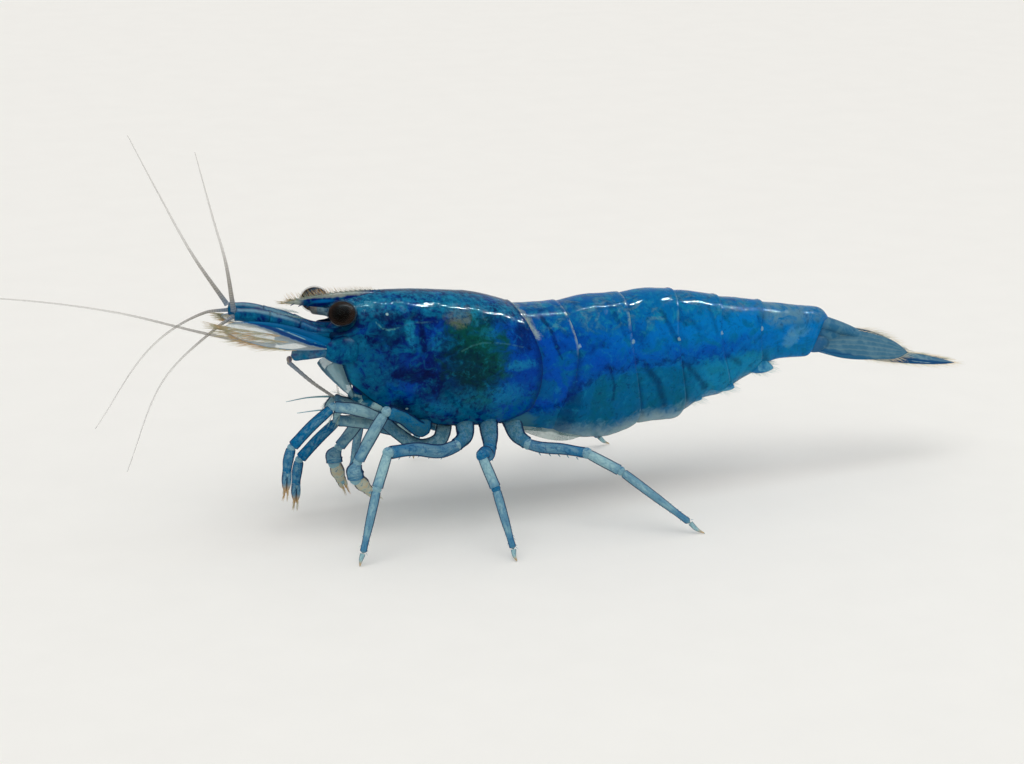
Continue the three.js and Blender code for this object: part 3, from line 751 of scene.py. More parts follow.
def plain_finish(name, one, other, scale, rough=0.3, alpha=None):
    """Two colours in soft blotches over a finely grained skin."""
    paint = Paint(name)
    blotch = paint.noise(scale, 3.0, 0.6, 0.3)
    grain = paint.noise(scale * 4, 2.0)
    paint.base = paint.mix(one, other, paint.fade(blotch, 0.4, 0.6))
    return paint.shade(rough + grain * 0.1, alpha=alpha, normal=paint.bump(grain, 0.008 * MM, 0.5))


def rostrum_finish():
    """A deep blue blade whose crest and tip are clear and tan."""
    paint = Paint("RostrumShell")
    tone, fade = colours(), paint.fade
    u, v = paint.map()
    up = (u * TURN + math.pi / 2).sine()
    mottle = paint.noise(4.0, 3.0, 0.6, 0.3)
    paint.base = paint.mix(tone.navy, tone.teal, fade(mottle, 0.44, 0.6) * 0.7)
    # Painted highlight: a thin light-blue streak along the middle of the blade.
    paint.coat(tone.azure, paint.side_spot((-7.6, 8.92), (0.4, 0.06), 0.9, 2.0, mottle) * 0.6)
    crest = fade(up + (mottle - 0.5) * 0.5, 0.45, 0.75) * fade(v, 0.15, 0.4)
    crest = crest.most(fade(v, 0.8, 0.88))
    paint.coat(tone.cream, crest * 0.65)
    paint.coat(tone.feeler, crest * fade(mottle, 0.45, 0.6) * 0.6)
    return paint.shade(rough=0.2, alpha=1 - crest * 0.4, normal=paint.bump(mottle, 0.01 * MM, 0.4))


LEG_PARTS = ("coxa", "ischium", "merus", "carpus", "propodus", "claw", "membrane", "spine")


def leg_finish(name, depths, tan=0.0):
    """Skin of a leg. depths gives how blue each of LEG_PARTS is; tan colours the propodus and claw."""
    paint = Paint(name)
    tone, fade = colours(), paint.fade
    u, v = paint.map()
    part = v * len(LEG_PARTS)
    along = part.fraction()
    across = abs((u * TURN).sine())
    wash = paint.wash(u * 7, v * 42)
    fine = paint.noise(8.0, 4.0, 0.7)
    blue = depths[0] + sum(
        (fade(part, index - 0.02, index + 0.02) * (depths[index] - depths[index - 1])
         for index in range(1, len(LEG_PARTS))), start=wash * 0)
    depth = blue * 0.85 + (wash - 0.5) * (1 - blue * 0.5) + 0.1
    paint.base = paint.mix(tone.mist, tone.denim, depth.least(1).most(0))
    paint.coat(tone.teal, blue * fade(fine, 0.42, 0.6) * 0.5)
    # Painted light: a pale streak along the middle of each segment, on the sides turned towards the camera.
    streak = fade(across, 0.82, 1.0) * fade(wash, 0.52, 0.4) * fade(along, 0.9, 0.7)
    streak = streak * fade(part, 1.8, 2.1)
    paint.coat(tone.mist, streak * (0.5 - blue * 0.35))
    end_blotch = fade(along + (wash - 0.5) * 0.6, 0.66, 0.9) * fade(along, 0.99, 0.94)
    paint.coat(tone.denim, end_blotch * (blue * 0.5 + 0.3))
    paint.coat(tone.navy, fade(wash + (fine - 0.5) * 0.5, 0.56, 0.7) * (blue * 0.7 + 0.05))
    paint.coat(tone.mist, fade(fine, 0.52, 0.66) * 0.15)
    paint.coat(tone.navy, fade(fine, 0.47, 0.34) * (blue * 0.5 + 0.1))
    root = fade(part, 2.1, 1.8)
    paint.coat(ROOT_GREY, root * fade(wash, 0.6, 0.4) * 0.55)
    paint.coat(tone.teal, root * fade(fine, 0.46, 0.56) * 0.5)
    if tan:
        palm = fade(part, 3.9, 4.0) * fade(part, 6.0, 5.95)
        paint.coat(tone.feeler, palm * 0.85 * tan)
        paint.coat(tone.cream, palm * 0.4 * tan)
        paint.coat(tone.amber, palm * fade(wash, 0.45, 0.6) * 0.4 * tan)
        paint.coat(tone.teal, palm * fade(wash, 0.42, 0.34) * 0.5 * tan)
    # Dark outlines along the limb's edges as the camera sees them, which are painted shade; pale joints,
    # amber claws.
    outline = fade(across + (wash - 0.5) * 0.3, 0.68, 0.4) * fade(part, 6.0, 5.98)
    paint.coat(toned(tone.navy, 0.5), outline * 0.85)
    joint = fade(along, 0.05, 0.01).most(fade(along, 0.96, 0.99))
    paint.coat(tone.mist, joint * 0.4)
    claw = fade(part, 4.98, 5.05) * fade(part, 6.0, 5.95)
    paint.coat(tone.amber, claw * fade(along, 0.45, 0.9) * 0.8)
    return paint.shade(rough=0.45 + fine * 0.2, gloss=0.02, normal=paint.bump(fine, 0.012 * MM, 0.5))


def head_limb_finish(name="HeadLimbSkin", clear=0.0):
    """Deep blue skin, from the second segment on paler by the share clear, with dark outlines along the top
    and bottom that are painted shade.
    """
    paint = Paint(name)
    tone, fade = colours(), paint.fade
    u, v = paint.map()
    up = (u * TURN + math.pi / 2).sine()
    mottle = paint.noise(2.6, 4.0, 0.62, 0.4)
    fine = paint.noise(8.0, 3.0, 0.68)
    paint.base = paint.mix(tone.navy, tone.denim, fade(mottle, 0.42, 0.6) * 0.6)
    paint.coat(tone.teal, fade(paint.noise(1.4, 3.0), 0.4, 0.56) * 0.8)
    paint.coat(tone.aqua, fade(fine, 0.52, 0.66) * 0.3)
    paint.coat(tone.mist, fade(v, 0.24, 0.3) * (fade(mottle, 0.7, 0.4) * clear))
    paint.coat(tone.amber, fade(v, 0.76, 0.78) * 0.4)
    top = fade(up + (mottle - 0.5) * 0.4, 0.5, 0.85)
    paint.coat(tone.mist, top * fade(paint.y, -8.4, -9.6) * 0.3)
    # Painted shade along the top and bottom edges, the outlines seen from the side.
    outline = fade(abs((u * TURN).sine()), 0.35, 0.1)
    paint.coat(tone.navy, outline * 0.75)
    paint.coat(tone.navy, fade(fine, 0.48, 0.3) * 0.5)
    return paint.shade(rough=0.3 + fine * 0.2, gloss=0.03, normal=paint.bump(mottle, 0.012 * MM, 0.4))


def tail_joint(paint, mottle):
    """Blue over the joint at the root of the tail fan."""
    paint.coat(TAIL_JOINT, paint.fade(paint.y + (mottle - 0.5) * 1.2, 13.5, 12.9) * 0.5)


def blade_finish(name, body, stripe, upper, clear, slant=1.1, blotch=0.3, edge=0.9, bands=0.0,
                 jointed=False):
    """A thin fin: a deep upper part that narrows to the tip, ribs along it and a clear lower part.

    upper is how far down the deep part comes, slant how fast it narrows, blotch how strong its
    patches are and edge where the dark outline begins.
    """
    paint = Paint(name)
    tone, fade = colours(), paint.fade
    u, v = paint.map()
    across = (u * TURN + math.pi / 2).sine()
    mottle = paint.noise(3.0, 4.0, 0.6)
    ribs = fade((across * 18 + mottle * 5).sine(), 0.2, 0.9)
    paint.base = paint.mix(body, tone.mist, fade(mottle, 0.42, 0.62) * blotch)
    paint.coat(tone.cream, ribs * 0.12)
    reach = v * slant + across + (mottle - 0.5) * 0.35
    deep = fade(reach, upper + 0.12, upper - 0.12)
    paint.coat(paint.mix(stripe, tone.navy, ribs * 0.35), deep)
    if bands:
        paint.coat(tone.azure, fade(abs(reach - upper + 0.85), 0.3, 0.1) * bands * 0.5)
        for middle in (0.25, 1.35):
            paint.coat(tone.navy, fade(abs(reach - upper + middle), 0.24, 0.08) * bands)
    streak = fade(abs(reach - upper + 0.5), 0.08, 0.02) * fade(mottle, 0.46, 0.6)
    paint.coat(tone.mist, streak * 0.6)
    outline = fade(abs(across), edge, edge + 0.08)
    paint.coat(stripe, outline * 0.7)
    if jointed:
        tail_joint(paint, mottle)
    alpha = 1 - (1 - deep) * (1 - outline) * clear
    return paint.shade(rough=0.5, gloss=0.01, alpha=alpha, normal=paint.bump(ribs, 0.006 * MM, 0.4))


def tail_skin_finish():
    """Skin of the telson: bluer at its joint, mottled grey-blue behind."""
    paint = Paint("TailSkin")
    mottle = paint.noise(2.6, 4.0, 0.6)
    paint.base = paint.mix(srgb(76, 122, 146), srgb(40, 98, 136), paint.fade(mottle, 0.4, 0.6) * 0.8)
    tail_joint(paint, mottle)
    return paint.shade(rough=0.4 + mottle * 0.1, gloss=0.02, normal=paint.bump(mottle, 0.008 * MM, 0.5))


def feeler_finish(rings):
    paint = Paint(f"Feeler{rings}")
    tone, fade = colours(), paint.fade
    _, v = paint.map()
    band = fade((v * (rings * TURN)).sine(), 0.0, 0.6)
    paint.base = paint.mix(tone.feeler, toned(tone.feeler, 0.35), band * 0.6)
    paint.coat(tone.denim, fade(v, 0.1, 0.0) * 0.5)
    return paint.shade(rough=0.35, alpha=fade(v, 0.45, 0.0) * 0.6 + 0.22)


def hair_finish(name, tint):
    paint = Paint(name)
    paint.base = paint.mix(tint, colours().cream, paint.fade(paint.noise(1.5), 0.4, 0.65) * 0.5)
    return paint.shade(rough=0.4)


def eye_core_finish(name, side):
    """Near black at the middle of the eye's gaze, with a red-brown ring and a tan and grey base."""
    paint = Paint(f"EyeCore{name.title()}")
    tone, fade = colours(), paint.fade
    gaze = Vector((side * 0.88, -0.38, 0.28)).normalized()
    away = paint.node(
        "ShaderNodeVectorMath", {"operation": "SUBTRACT"}, {0: paint.spot, 1: EYE_SPOTS[name]})
    ahead = paint.node("ShaderNodeVectorMath", {"operation": "NORMALIZE"}, {0: away})
    facing = paint.node("ShaderNodeVectorMath", {"operation": "DOT_PRODUCT"}, {0: ahead, 1: gaze},
                        output="Value")
    speck = paint.noise(7.0, 3.0, 0.7)
    facing = facing + (speck - 0.5) * 0.25
    tan = toned(tone.iris, 2.6)
    paint.base = paint.mix(tan, tone.feeler, fade(speck, 0.42, 0.6) * 0.7)
    paint.coat(tone.iris, fade(facing, -0.1, 0.35))
    rim = fade(abs(facing - 0.12), 0.26, 0.1)
    paint.coat(toned(tone.teal, 0.4), rim * 0.75)
    paint.coat(tone.eye, fade(facing, 0.62, 0.88))
    return paint.shade(rough=0.6, gloss=0.02)


def cornea_finish():
    paint = Paint("Cornea")
    tone = colours()
    blotch = paint.fade(paint.noise(6.0), 0.4, 0.6)
    paint.base = paint.mix(toned(tone.feeler, 0.04), toned(tone.mist, 0.06), blotch * 0.8)
    return paint.shade(rough=0.2, gloss=0.05, alpha=0.2)


# ---- Operators ----------------------------------------------------------------------------------

class SHRIMP_OT_stage(bpy.types.Operator):
    """Lay the floor and set the camera, the soft sky and the lamps"""
    bl_idname = "shrimp.stage"
    bl_label = "Stage"

    floor_half = 1.5
    sky_tint = (0.97, 0.98, 1.0)
    sun_angle = math.radians(50)
    sun_way = Vector((-0.35, 0.25, -1))
    strip_spot, strip_aim = (-2, 20, 66), (0, 0, 8)
    strip_width, strip_length = 0.0006, 0.11
    strip_tint = (0.72, 0.93, 1.0)

    def execute(self, context):
        stage = context.scene.shrimp_stage
        self.floor(stage)
        self.world(context.scene, stage)
        self.camera(context.scene, stage)
        self.strip(stage)
        self.sun(stage)
        context.scene.view_settings.view_transform = "Standard"
        return {"FINISHED"}

    def floor(self, stage):
        bm = bmesh.new()
        bmesh.ops.create_grid(bm, x_segments=2, y_segments=2, size=self.floor_half)
        mesh = bpy.data.meshes.new("Floor")
        bm.to_mesh(mesh)
        bm.free()
        floor = place_object("Floor", mesh)
        paint = Paint("FloorPaint")
        paint.base = paint.mix(stage.floor, toned(stage.floor, 0.96), paint.noise(0.35, 3.0))
        mesh.materials.append(paint.shade(rough=0.9, gloss=0.1))
        floor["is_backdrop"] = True

    def world(self, scene, stage):
        """The backdrop is what the camera sees, and the sky what lights the model."""
        world = bpy.data.worlds.new("PaleRoom")
        scene.world = world
        world.use_nodes = True
        tree = world.node_tree
        tree.nodes.clear()
        blend = tree.nodes.new("ShaderNodeMixShader")
        for socket, tint, strength in ((1, self.sky_tint, stage.sky), (2, stage.backdrop, 1.0)):
            light = tree.nodes.new("ShaderNodeBackground")
            light.inputs["Color"].default_value = (*tint, 1)
            light.inputs["Strength"].default_value = strength
            tree.links.new(light.outputs[0], blend.inputs[socket])
        rays = tree.nodes.new("ShaderNodeLightPath")
        tree.links.new(rays.outputs["Is Camera Ray"], blend.inputs[0])
        out = tree.nodes.new("ShaderNodeOutputWorld")
        tree.links.new(blend.outputs[0], out.inputs["Surface"])

    def camera(self, scene, stage):
        data = bpy.data.cameras.new("Camera")
        data.lens = stage.lens
        data.sensor_width = 36
        data.clip_start = 0.001
        camera = place_object("Camera", data)
        turn, tip = stage.azimuth, stage.elevation
        back = Vector((math.sin(turn) * math.cos(tip), -math.cos(turn) * math.cos(tip), math.sin(tip)))
        aim = TO_FRAME @ Vector((0, 0, stage.aim / MM))
        camera.location = aim + back * stage.away
        camera.rotation_euler = (-back).to_track_quat("-Z", "Y").to_euler()
        scene.camera = camera

    def strip(self, stage):
        """A long thin lamp above the back, whose reflection is the shell's highlight."""
        data = bpy.data.lights.new("StripLamp", "AREA")
        data.shape = "RECTANGLE"
        data.size = self.strip_width
        data.size_y = self.strip_length
        data.energy = stage.strip * math.pi * self.strip_width * self.strip_length
        data.color = self.strip_tint
        lamp = place_object("StripLamp", data)
        place, target = TO_FRAME @ Vector(self.strip_spot), TO_FRAME @ Vector(self.strip_aim)
        lamp.location = place
        up = (place - target).normalized()
        along = (Vector((0, 1, 0)) - up * up.y).normalized()
        lamp.rotation_euler = Matrix((along.cross(up), along, up)).transposed().to_euler()
        lamp.visible_diffuse = False

    def sun(self, stage):
        data = bpy.data.lights.new("SoftSun", "SUN")
        data.energy = stage.sun
        data.angle = self.sun_angle
        sun = place_object("SoftSun", data)
        sun.rotation_euler = self.sun_way.to_track_quat("-Z", "Y").to_euler()


class SHRIMP_OT_carapace(bpy.types.Operator):
    """Model the carapace with its orbits, spines and beaded margins"""
    bl_idname = "shrimp.carapace"
    bl_label = "Carapace"

    def execute(self, context):
        model = Model()
        model.lay(self.place, 150, 120)
        for side in (1, -1):
            root, tip = Vector((side * 1.02, -7.35, 7.55)), Vector((side * 0.98, -7.85, 7.58))
            model.spike(root, tip, 0.09, sides=8, patch=((0.5, 0.3), (0.52, 0.32)))
        model.finish("Carapace", carapace_finish(), "carapace", ["carapace"], wall=sizes().wall)
        return {"FINISHED"}

    def place(self, u, v):
        angle = (2 * u - 1) * CURL
        height = shell_height(angle)
        front, rear = CARAPACE["front"](height), CARAPACE["rear"](height)
        spot = shell_spot(CARAPACE, angle, height, front + v * (rear - front), 1 + LIP * (v - 0.5), 0.0)
        bead = 0.035 * (math.exp(-(v / 0.012) ** 2) + math.exp(-((1 - v) / 0.01) ** 2))
        return raised(spot, angle, bead, (0.9, 0.03), (0.3, 0.008))


class SHRIMP_OT_rostrum(bpy.types.Operator):
    """Model the rostrum, a keeled blade with a fine saw edge and bristles"""
    bl_idname = "shrimp.rostrum"
    bl_label = "Rostrum"

    root, tip = -4.9, -9.15
    crest = staticmethod(profile((tip, 8.98), (-8.3, 9.1), (-7.3, 9.17), (-6.1, 9.19), (root, 9.1)))
    keel = staticmethod(profile((tip, 8.96), (-8.6, 8.84), (-8.0, 8.72), (-7.3, 8.6), (-6.1, 8.6),
                                (root, 8.8)))
    half = staticmethod(profile((tip, 0.0), (-8.6, 0.06), (-7.6, 0.13), (-6.6, 0.26), (root, 0.2)))
    teeth = 19
    crest_hairs, tip_hairs = 52, 22

    def execute(self, context):
        model = Model()

        def place(u, v):
            y = self.root + v * (self.tip - self.root)
            angle = TURN * u
            mid, rise = (self.crest(y) + self.keel(y)) / 2, (self.crest(y) - self.keel(y)) / 2
            x = self.half(y) * signed_power(math.sin(angle), 1.7)
            return Vector((x, y, mid + rise * rounded(v, 0.03) * math.cos(angle)))
        model.lay(place, 20, 60)
        upper, under = ((0.0, 0.45), (0.03, 0.5)), ((0.49, 0.45), (0.51, 0.5))
        for i in range(self.teeth):
            y = -5.2 - 3.5 * i / (self.teeth - 1)
            z = self.crest(y)
            model.spike((0, y, z - 0.06), (0, y - 0.19, z + 0.05), 0.05, 6, upper)
        for y in (-8.1, -8.4, -8.7):
            z = self.keel(y)
            model.spike((0, y, z + 0.05), (0, y - 0.16, z - 0.05), 0.04, 6, under)
        model.finish("Rostrum", rostrum_finish(), "carapace")
        bristles("RostrumBristles", "RostrumBristle", colours().amber, "fins", self.fringe(), 1.7)
        return {"FINISHED"}

    def fringe(self):
        chance = random.Random(4)
        for i in range(self.crest_hairs):
            y = -5.6 - 3.3 * i / (self.crest_hairs - 1)
            z = self.crest(y)
            tall = 0.16 + 0.12 * smooth(-y, 5.6, 7.5)
            lean = chance.uniform(0.5, 0.9)
            yield ((0, y, z - 0.03),
                   (chance.uniform(-0.05, 0.05), y - tall * lean, z + tall * chance.uniform(0.75, 1.1)))
        for i in range(self.tip_hairs):
            root = Vector((0, -8.5 - 0.03 * i, chance.uniform(8.9, 9.05)))
            yield root, root + Vector((chance.uniform(-0.05, 0.05), -0.35, chance.uniform(-0.04, 0.12)))


class SHRIMP_OT_pleon(bpy.types.Operator):
    """Model the six overlapping tail rings and the muscle inside them"""
    bl_idname = "shrimp.pleon"
    bl_label = "Pleon"

    def execute(self, context):
        finish = pleon_finish()
        for ring in range(1, 7):
            model = Model()
            model.lay(self.placer(ring), 110, 44)
            model.finish(f"TailRing{ring}", finish, "pleon", [f"pleon_{ring}"], wall=sizes().wall)
        self.core()
        return {"FINISHED"}

    def placer(self, ring):
        front, rear = PLEON_JOINTS[ring - 1], PLEON_JOINTS[ring]
        curl = CLOSED_CURL if ring == 6 else CURL

        def place(u, v):
            angle = (2 * u - 1) * curl
            height = shell_height(angle, curl)
            low = 1 - smooth(height, 0.3, 0.55)
            # The second ring's side plates lie over both neighbours.
            tuck_front = 0.34 * (1 - low) if ring == 2 else 0.34
            tuck_rear = 0.4 * low if ring == 1 else 0.0
            start, end = front(height) - tuck_front, rear(height) + tuck_rear
            lean = 2 * v - 1
            if ring == 1:
                lean *= 1 - 2 * low
            elif ring == 2:
                lean += (abs(lean) - lean) * low
            swell = 1 + LIP * lean * (0.55 if ring < 3 else 1) + 0.012 * math.sin(math.pi * v) * (1 - low)
            if ring == 6:
                swell = 1 - LIP + 0.02 * v - 0.76 * max(0.0, v / 0.2 - 4) ** 2.5
            corner = 0.0 if ring == 6 else 0.24 * (2 * v - 1) ** 6
            spot = shell_spot(PLEON, angle, height, start + v * (end - start), swell, corner)
            bead = 0.02 * math.exp(-((1 - v) / 0.03) ** 2) if 2 < ring < 6 else 0.0
            return raised(spot, angle, bead, (0.8, 0.03), (0.25, 0.007))
        return place

    def core(self):
        """The muscle inside the rings, above the space for the brood."""
        model = Model()
        start, end = -0.6, 12.4
        brood_end = 10.4

        def place(u, v):
            y = start + v * (end - start)
            angle = TURN * u
            low = BROOD_CEILING(y) - 0.15 if y <= brood_end else PLEON["foot"](y) + 0.25
            high = PLEON["top"](y) - 0.4
            close = rounded(v, 0.04)
            x = PLEON["half"](y) * 0.78 * signed_power(math.sin(angle), 0.8) * close
            return Vector((x, y, (low + high) / 2 + (high - low) / 2 * math.cos(angle) * close))
        model.lay(place, 40, 90)
        tone = colours()
        model.finish("TailMuscle", plain_finish("Muscle", tone.royal, tone.navy, 2.0), "pleon")


def fringe_of(line, stand, half, count, reach, seed, start=0.25, edges=(1, -1), sweep=0.7, lift=0.0):
    """Bristles along a blade's edges and round its tip, or lifted off its face by lift."""
    chance = random.Random(seed)
    for edge in edges:
        for i in range(count):
            t = start + (1 - start) * i / (count - 1)
            ahead, out, across = frame_at(line, stand, t)
            root = line(t) + across * (edge * half(t) * 0.93) + out * lift
            aside = (1 - sweep) * (1 - smooth(t, 0.75, 1.0)) + 0.15 * chance.uniform(-1, 1)
            grown = reach * (0.75 + 0.3 * chance.random()) * (0.5 + 0.5 * smooth(t, start, start + 0.25))
            yield root, root + (ahead * sweep + across * (edge * aside)
                                + out * chance.uniform(-0.06, 0.06)).normalized() * grown


class SHRIMP_OT_tail_fan(bpy.types.Operator):
    """Model the telson and the inner and outer uropods with their fringes"""
    bl_idname = "shrimp.tail_fan"
    bl_label = "Tail fan"

    def execute(self, context):
        root = Model()
        root.tube(path((0, 12.2, 5.9), (0, 13.4, 5.75), (0, 14.4, 5.45), (0, 15.6, 5.1)), (1, 0, 0),
                  profile((0, 0.5), (0.35, 0.62), (0.65, 0.45), (1, 0.1)),
                  profile((0, 0.4), (0.35, 0.5), (0.65, 0.32), (1, 0.08)), 24, 30)
        skin = tail_skin_finish()
        root.finish("TailRoot", skin, "fins")
        telson_line = path((0, 12.7, 6.42), (0, 14.4, 5.8), (0, 15.9, 5.13), (0, 17.2, 4.74))
        telson_half = profile((0, 0.5), (0.2, 0.56), (0.7, 0.38), (0.93, 0.22), (1, 0.0))
        telson = Model()
        arch = profile((0, 0.34), (0.4, 0.26), (0.8, 0.12), (1, 0.03))
        telson.tube(telson_line, (0, 0, 1), telson_half, arch, columns=24, rows=40)
        for i in range(4):
            for side in (1, -1):
                y = 14.6 + 0.62 * i
                t = (y - 12.7) / 4.5
                spot = telson_line(t) + Vector((side * telson_half(t) * 0.8, 0, arch(t) * 0.5))
                telson.spike(spot, spot + Vector((side * 0.03, 0.16, 0.03)), 0.025)
        for i in range(7):
            x = (i - 3) * 0.07
            telson.spike((x, 17.1, 4.78), (x * 1.5, 17.45 + 0.1 * abs(i - 3) / 3, 4.64), 0.014)
        telson.finish("Telson", skin, "fins", ["telson"])
        outer = blade_finish(
            "FanBlade", srgb(70, 118, 146), srgb(44, 96, 132), upper=-0.3, clear=0.2, blotch=0.12,
            jointed=True)
        inner = blade_finish("InnerBlade", srgb(60, 112, 146), srgb(20, 74, 116), upper=0.6, clear=0.2)
        for name, side in SIDES:
            self.uropods(name, side, outer, inner)
        return {"FINISHED"}

    def uropods(self, name, side, outer_finish, inner_finish):
        outer_line = path(*flip(
            [(0.42, 12.8, 5.4), (0.62, 14.4, 5.32), (0.66, 15.7, 5.1), (0.55, 17.1, 4.72)], side))
        outer_half = profile((0, 0.25), (0.3, 0.62), (0.65, 0.56), (0.88, 0.34), (1, 0.02))
        inner_line = path(*flip(
            [(0.3, 12.9, 5.35), (0.34, 15.0, 4.85), (0.36, 17.4, 4.4), (0.32, 19.45, 4.0)], side))
        inner_half = profile((0, 0.12), (0.3, 0.36), (0.65, 0.4), (0.9, 0.2), (1, 0.01))
        steep, flat = Vector((0.8 * side, 0, 0.6)), Vector((0.4 * side, 0, 0.92))

        def thin(t):
            return sizes().blade / MM * rounded(t, 0.1) * (1.6 - t)
        outer, inner = Model(), Model()
        outer.tube(outer_line, steep, outer_half, thin, 20, 36, turn=side)
        inner.tube(inner_line, flat, inner_half, thin, 20, 36, turn=side)
        outer.ball((0.46 * side, 12.95, 5.45), (0.3, 0.6, 0.36), ((0.0, 0.5), (0.1, 0.7)))
        outer.finish(f"OuterUropod{name.title()}", outer_finish, "fins", [f"uropods_{name}"])
        inner.finish(f"InnerUropod{name.title()}", inner_finish, "fins")
        reach = sizes().fan_fringe / MM
        bristles(f"FanFringe{name.title()}", f"FanHair{name}", srgb(240, 224, 196), "fins", [
            *fringe_of(outer_line, steep, outer_half, 46, reach, 11, 0.45),
            *fringe_of(inner_line, flat, inner_half, 60, reach, 12, 0.4)])


# Swimmerets: the root's place along the body, and where the blades end, along it and up.
SWIMMERETS = (
    (0.85, (1.9, 3.55)),
    (2.95, (4.1, 3.4)),
    (5.6, (7.6, 3.72)),
    (7.0, (9.0, 4.05)),
    (8.6, (10.75, 4.66)),
)


class SHRIMP_OT_swimmerets(bpy.types.Operator):
    """Model the five pairs of swimmerets, each with a stalk and two fringed blades"""
    bl_idname = "shrimp.swimmerets"
    bl_label = "Swimmerets"

    def execute(self, context):
        finish = plain_finish("SwimSkin", srgb(16, 112, 166), srgb(84, 166, 198), 1.8, 0.5, 0.85)
        for index, (root, tip) in enumerate(SWIMMERETS):
            for name, side in SIDES:
                self.swimmeret(index, name, side, root, tip, finish)
        return {"FINISHED"}

    def swimmeret(self, index, name, side, root, tip, finish):
        x = side * min(0.78, PLEON["half"](tip[0]) * 0.6)
        top = BROOD_CEILING(root) + 0.05
        hip = (x * 0.8, root, top)
        knee = (x * 1.05, root + 0.3 * (tip[0] - root), (top + tip[1]) / 2 + 0.1)
        middle = ((x + knee[0]) / 2, (root + knee[1]) / 2, (top + knee[2]) / 2)
        model = Model()
        model.tube(path(hip, middle, knee), (side, 0, 0), lambda t: 0.32 * rounded(t, 0.12),
                   lambda t: 0.2 * rounded(t, 0.12), 12, 14)
        stand = (side, 0.15, 0.1)
        hairs = []
        for rank, (drift, drop, wide) in enumerate(((0.22, 0.0, 0.34), (-0.14, 0.16, 0.26))):
            end = (x + side * drift, tip[0] + 0.1, tip[1] + drop + 0.08)
            bend = (x + side * drift, (knee[1] + end[1]) / 2 - 0.12, (knee[2] + end[2]) / 2 - 0.05)
            line = path(knee, bend, end)
            half = profile((0, 0.1), (0.3, wide), (0.75, wide * 0.8), (0.95, wide * 0.3), (1, 0.02))
            model.tube(line, stand, half, lambda t: sizes().blade / MM * rounded(t, 0.1) * 1.2, 16, 20)
            hairs += fringe_of(line, stand, half, 26, 0.4, 20 + rank, 0.2, sweep=0.8)
        model.finish(f"Swimmeret{index + 1}{name.title()}", finish, "fins", [f"swimmeret_{index + 1}_{name}"])
        bristles(f"SwimFringe{index + 1}{name.title()}", f"SwimHair{index}{name}", colours().mist, "fins",
                 hairs)


class SHRIMP_OT_eyes(bpy.types.Operator):
    """Model the stalked eyes: a dark core under a clear cornea"""
    bl_idname = "shrimp.eyes"
    bl_label = "Eyes"

    def execute(self, context):
        radius = (EYE_HIGH.y - EYE_LOW.y) / 2 / MM * 0.98  # just inside the solid eye
        clear = cornea_finish()
        stalk_finish = head_limb_finish("StalkSkin", 0.7)
        for name, side in SIDES:
            centre = EYE_SPOTS[name]
            inner = radius - sizes().cornea / MM
            core = Model()
            core.ball(centre, (inner, inner, inner * 0.87), segments=48)
            core.finish(f"EyeCore{name.title()}", eye_core_finish(name, side), "eye", [f"eye_{name}"])
            lens = Model()
            lens.ball(centre, (radius, radius, radius * 0.88), segments=56)
            lens.finish(f"Cornea{name.title()}", clear, "eye")
            stalk = Model()
            line = path((0.3 * side, -6.9, 8.15), (0.8 * side, -7.15, 8.4),
                        centre - Vector((0.3 * side, 0, 0.1)))
            stalk.tube(line, (0, -1, 0), profile((0, 0.2), (0.5, 0.32), (1, 0.42)),
                       profile((0, 0.2), (0.5, 0.34), (1, 0.44)), 24, 20)
            stalk.finish(f"EyeStalk{name.title()}", stalk_finish, "legs", [f"eyestalk_{name}"])
        return {"FINISHED"}


def leg_patch(part):
    """The share of a leg's pattern map that one of LEG_PARTS takes."""
    return strip_patch(LEG_PARTS.index(part), len(LEG_PARTS))


def segment(model, line, side, radii, patch, flat=1.0, cap=0.06, rows=18):
    """One segment of a jointed limb, a little waisted behind its flared far end."""
    start, middle, end = radii
    waist = profile((0, start * 0.93), (0.1, start), (0.5, middle), (0.84, end), (0.95, end * 1.04), (1, end))

    def size(t):
        return waist(t) * rounded(t, cap)
    model.tube(line, side, size, lambda t: size(t) * flat, 18, rows, patch)


# LIMB_FACE points towards the camera, so the limbs' painted dark edges fall on their outlines as seen.
LIMB_FACE = Vector((0.9, -0.33, 0.27)).normalized()  # the limbs' dark edges run square to this


def limb_plane(a, b, c):
    """A direction square to the plane that three joints lie in."""
    normal = (Vector(b) - Vector(a)).cross(Vector(c) - Vector(b))
    return normal.normalized()


# Walking legs: hip, base, knee, wrist and foot.
WALKING_LEGS = {
    ("3", "left"): ((1.0, -2.3, 4.2), (2.12, -2.7, 3.42), (3.9, -6.3, 3.92), (4.3, -6.87, 2.7),
                    (5, -7.78, 0)),
    ("3", "right"): ((-1.0, -2.3, 4.2), (-2.1, -2.6, 3.5), (-3.7, -4.7, 4.3), (-4.2, -4.95, 2.7),
                     (-5, -5.2, 0)),
    ("4", "left"): ((1.0, -1.4, 4.2), (2.3, -1.7, 3.2), (4.9, -2.97, 3.74), (5.4, -2.6, 2.58),
                    (6.45, -2.15, 0)),
    ("4", "right"): ((-1.0, -1.4, 4.2), (-2.3, -1.55, 3.4), (-4.9, -1.9, 4.1), (-5.6, -1.9, 2.8),
                     (-6.8, -1.9, 0)),
    ("5", "left"): ((0.9, -0.5, 4.1), (1.9, -0.35, 3.13), (3.8, 1.66, 3.02), (4.6, 2.73, 2.43),
                    (5.98, 5.66, 0)),
    ("5", "right"): ((-0.9, -0.5, 4.1), (-1.9, -0.2, 3.3), (-3.7, 2.0, 3.5), (-4.5, 3.2, 2.7),
                     (-5.9, 6.55, 0)),
}
# How stout each pair's merus is, and how far its middle hangs below the line to the knee.
LEG_BUILDS = {"3": (1.0, -0.22), "4": (1.0, -0.2), "5": (0.84, -0.08)}


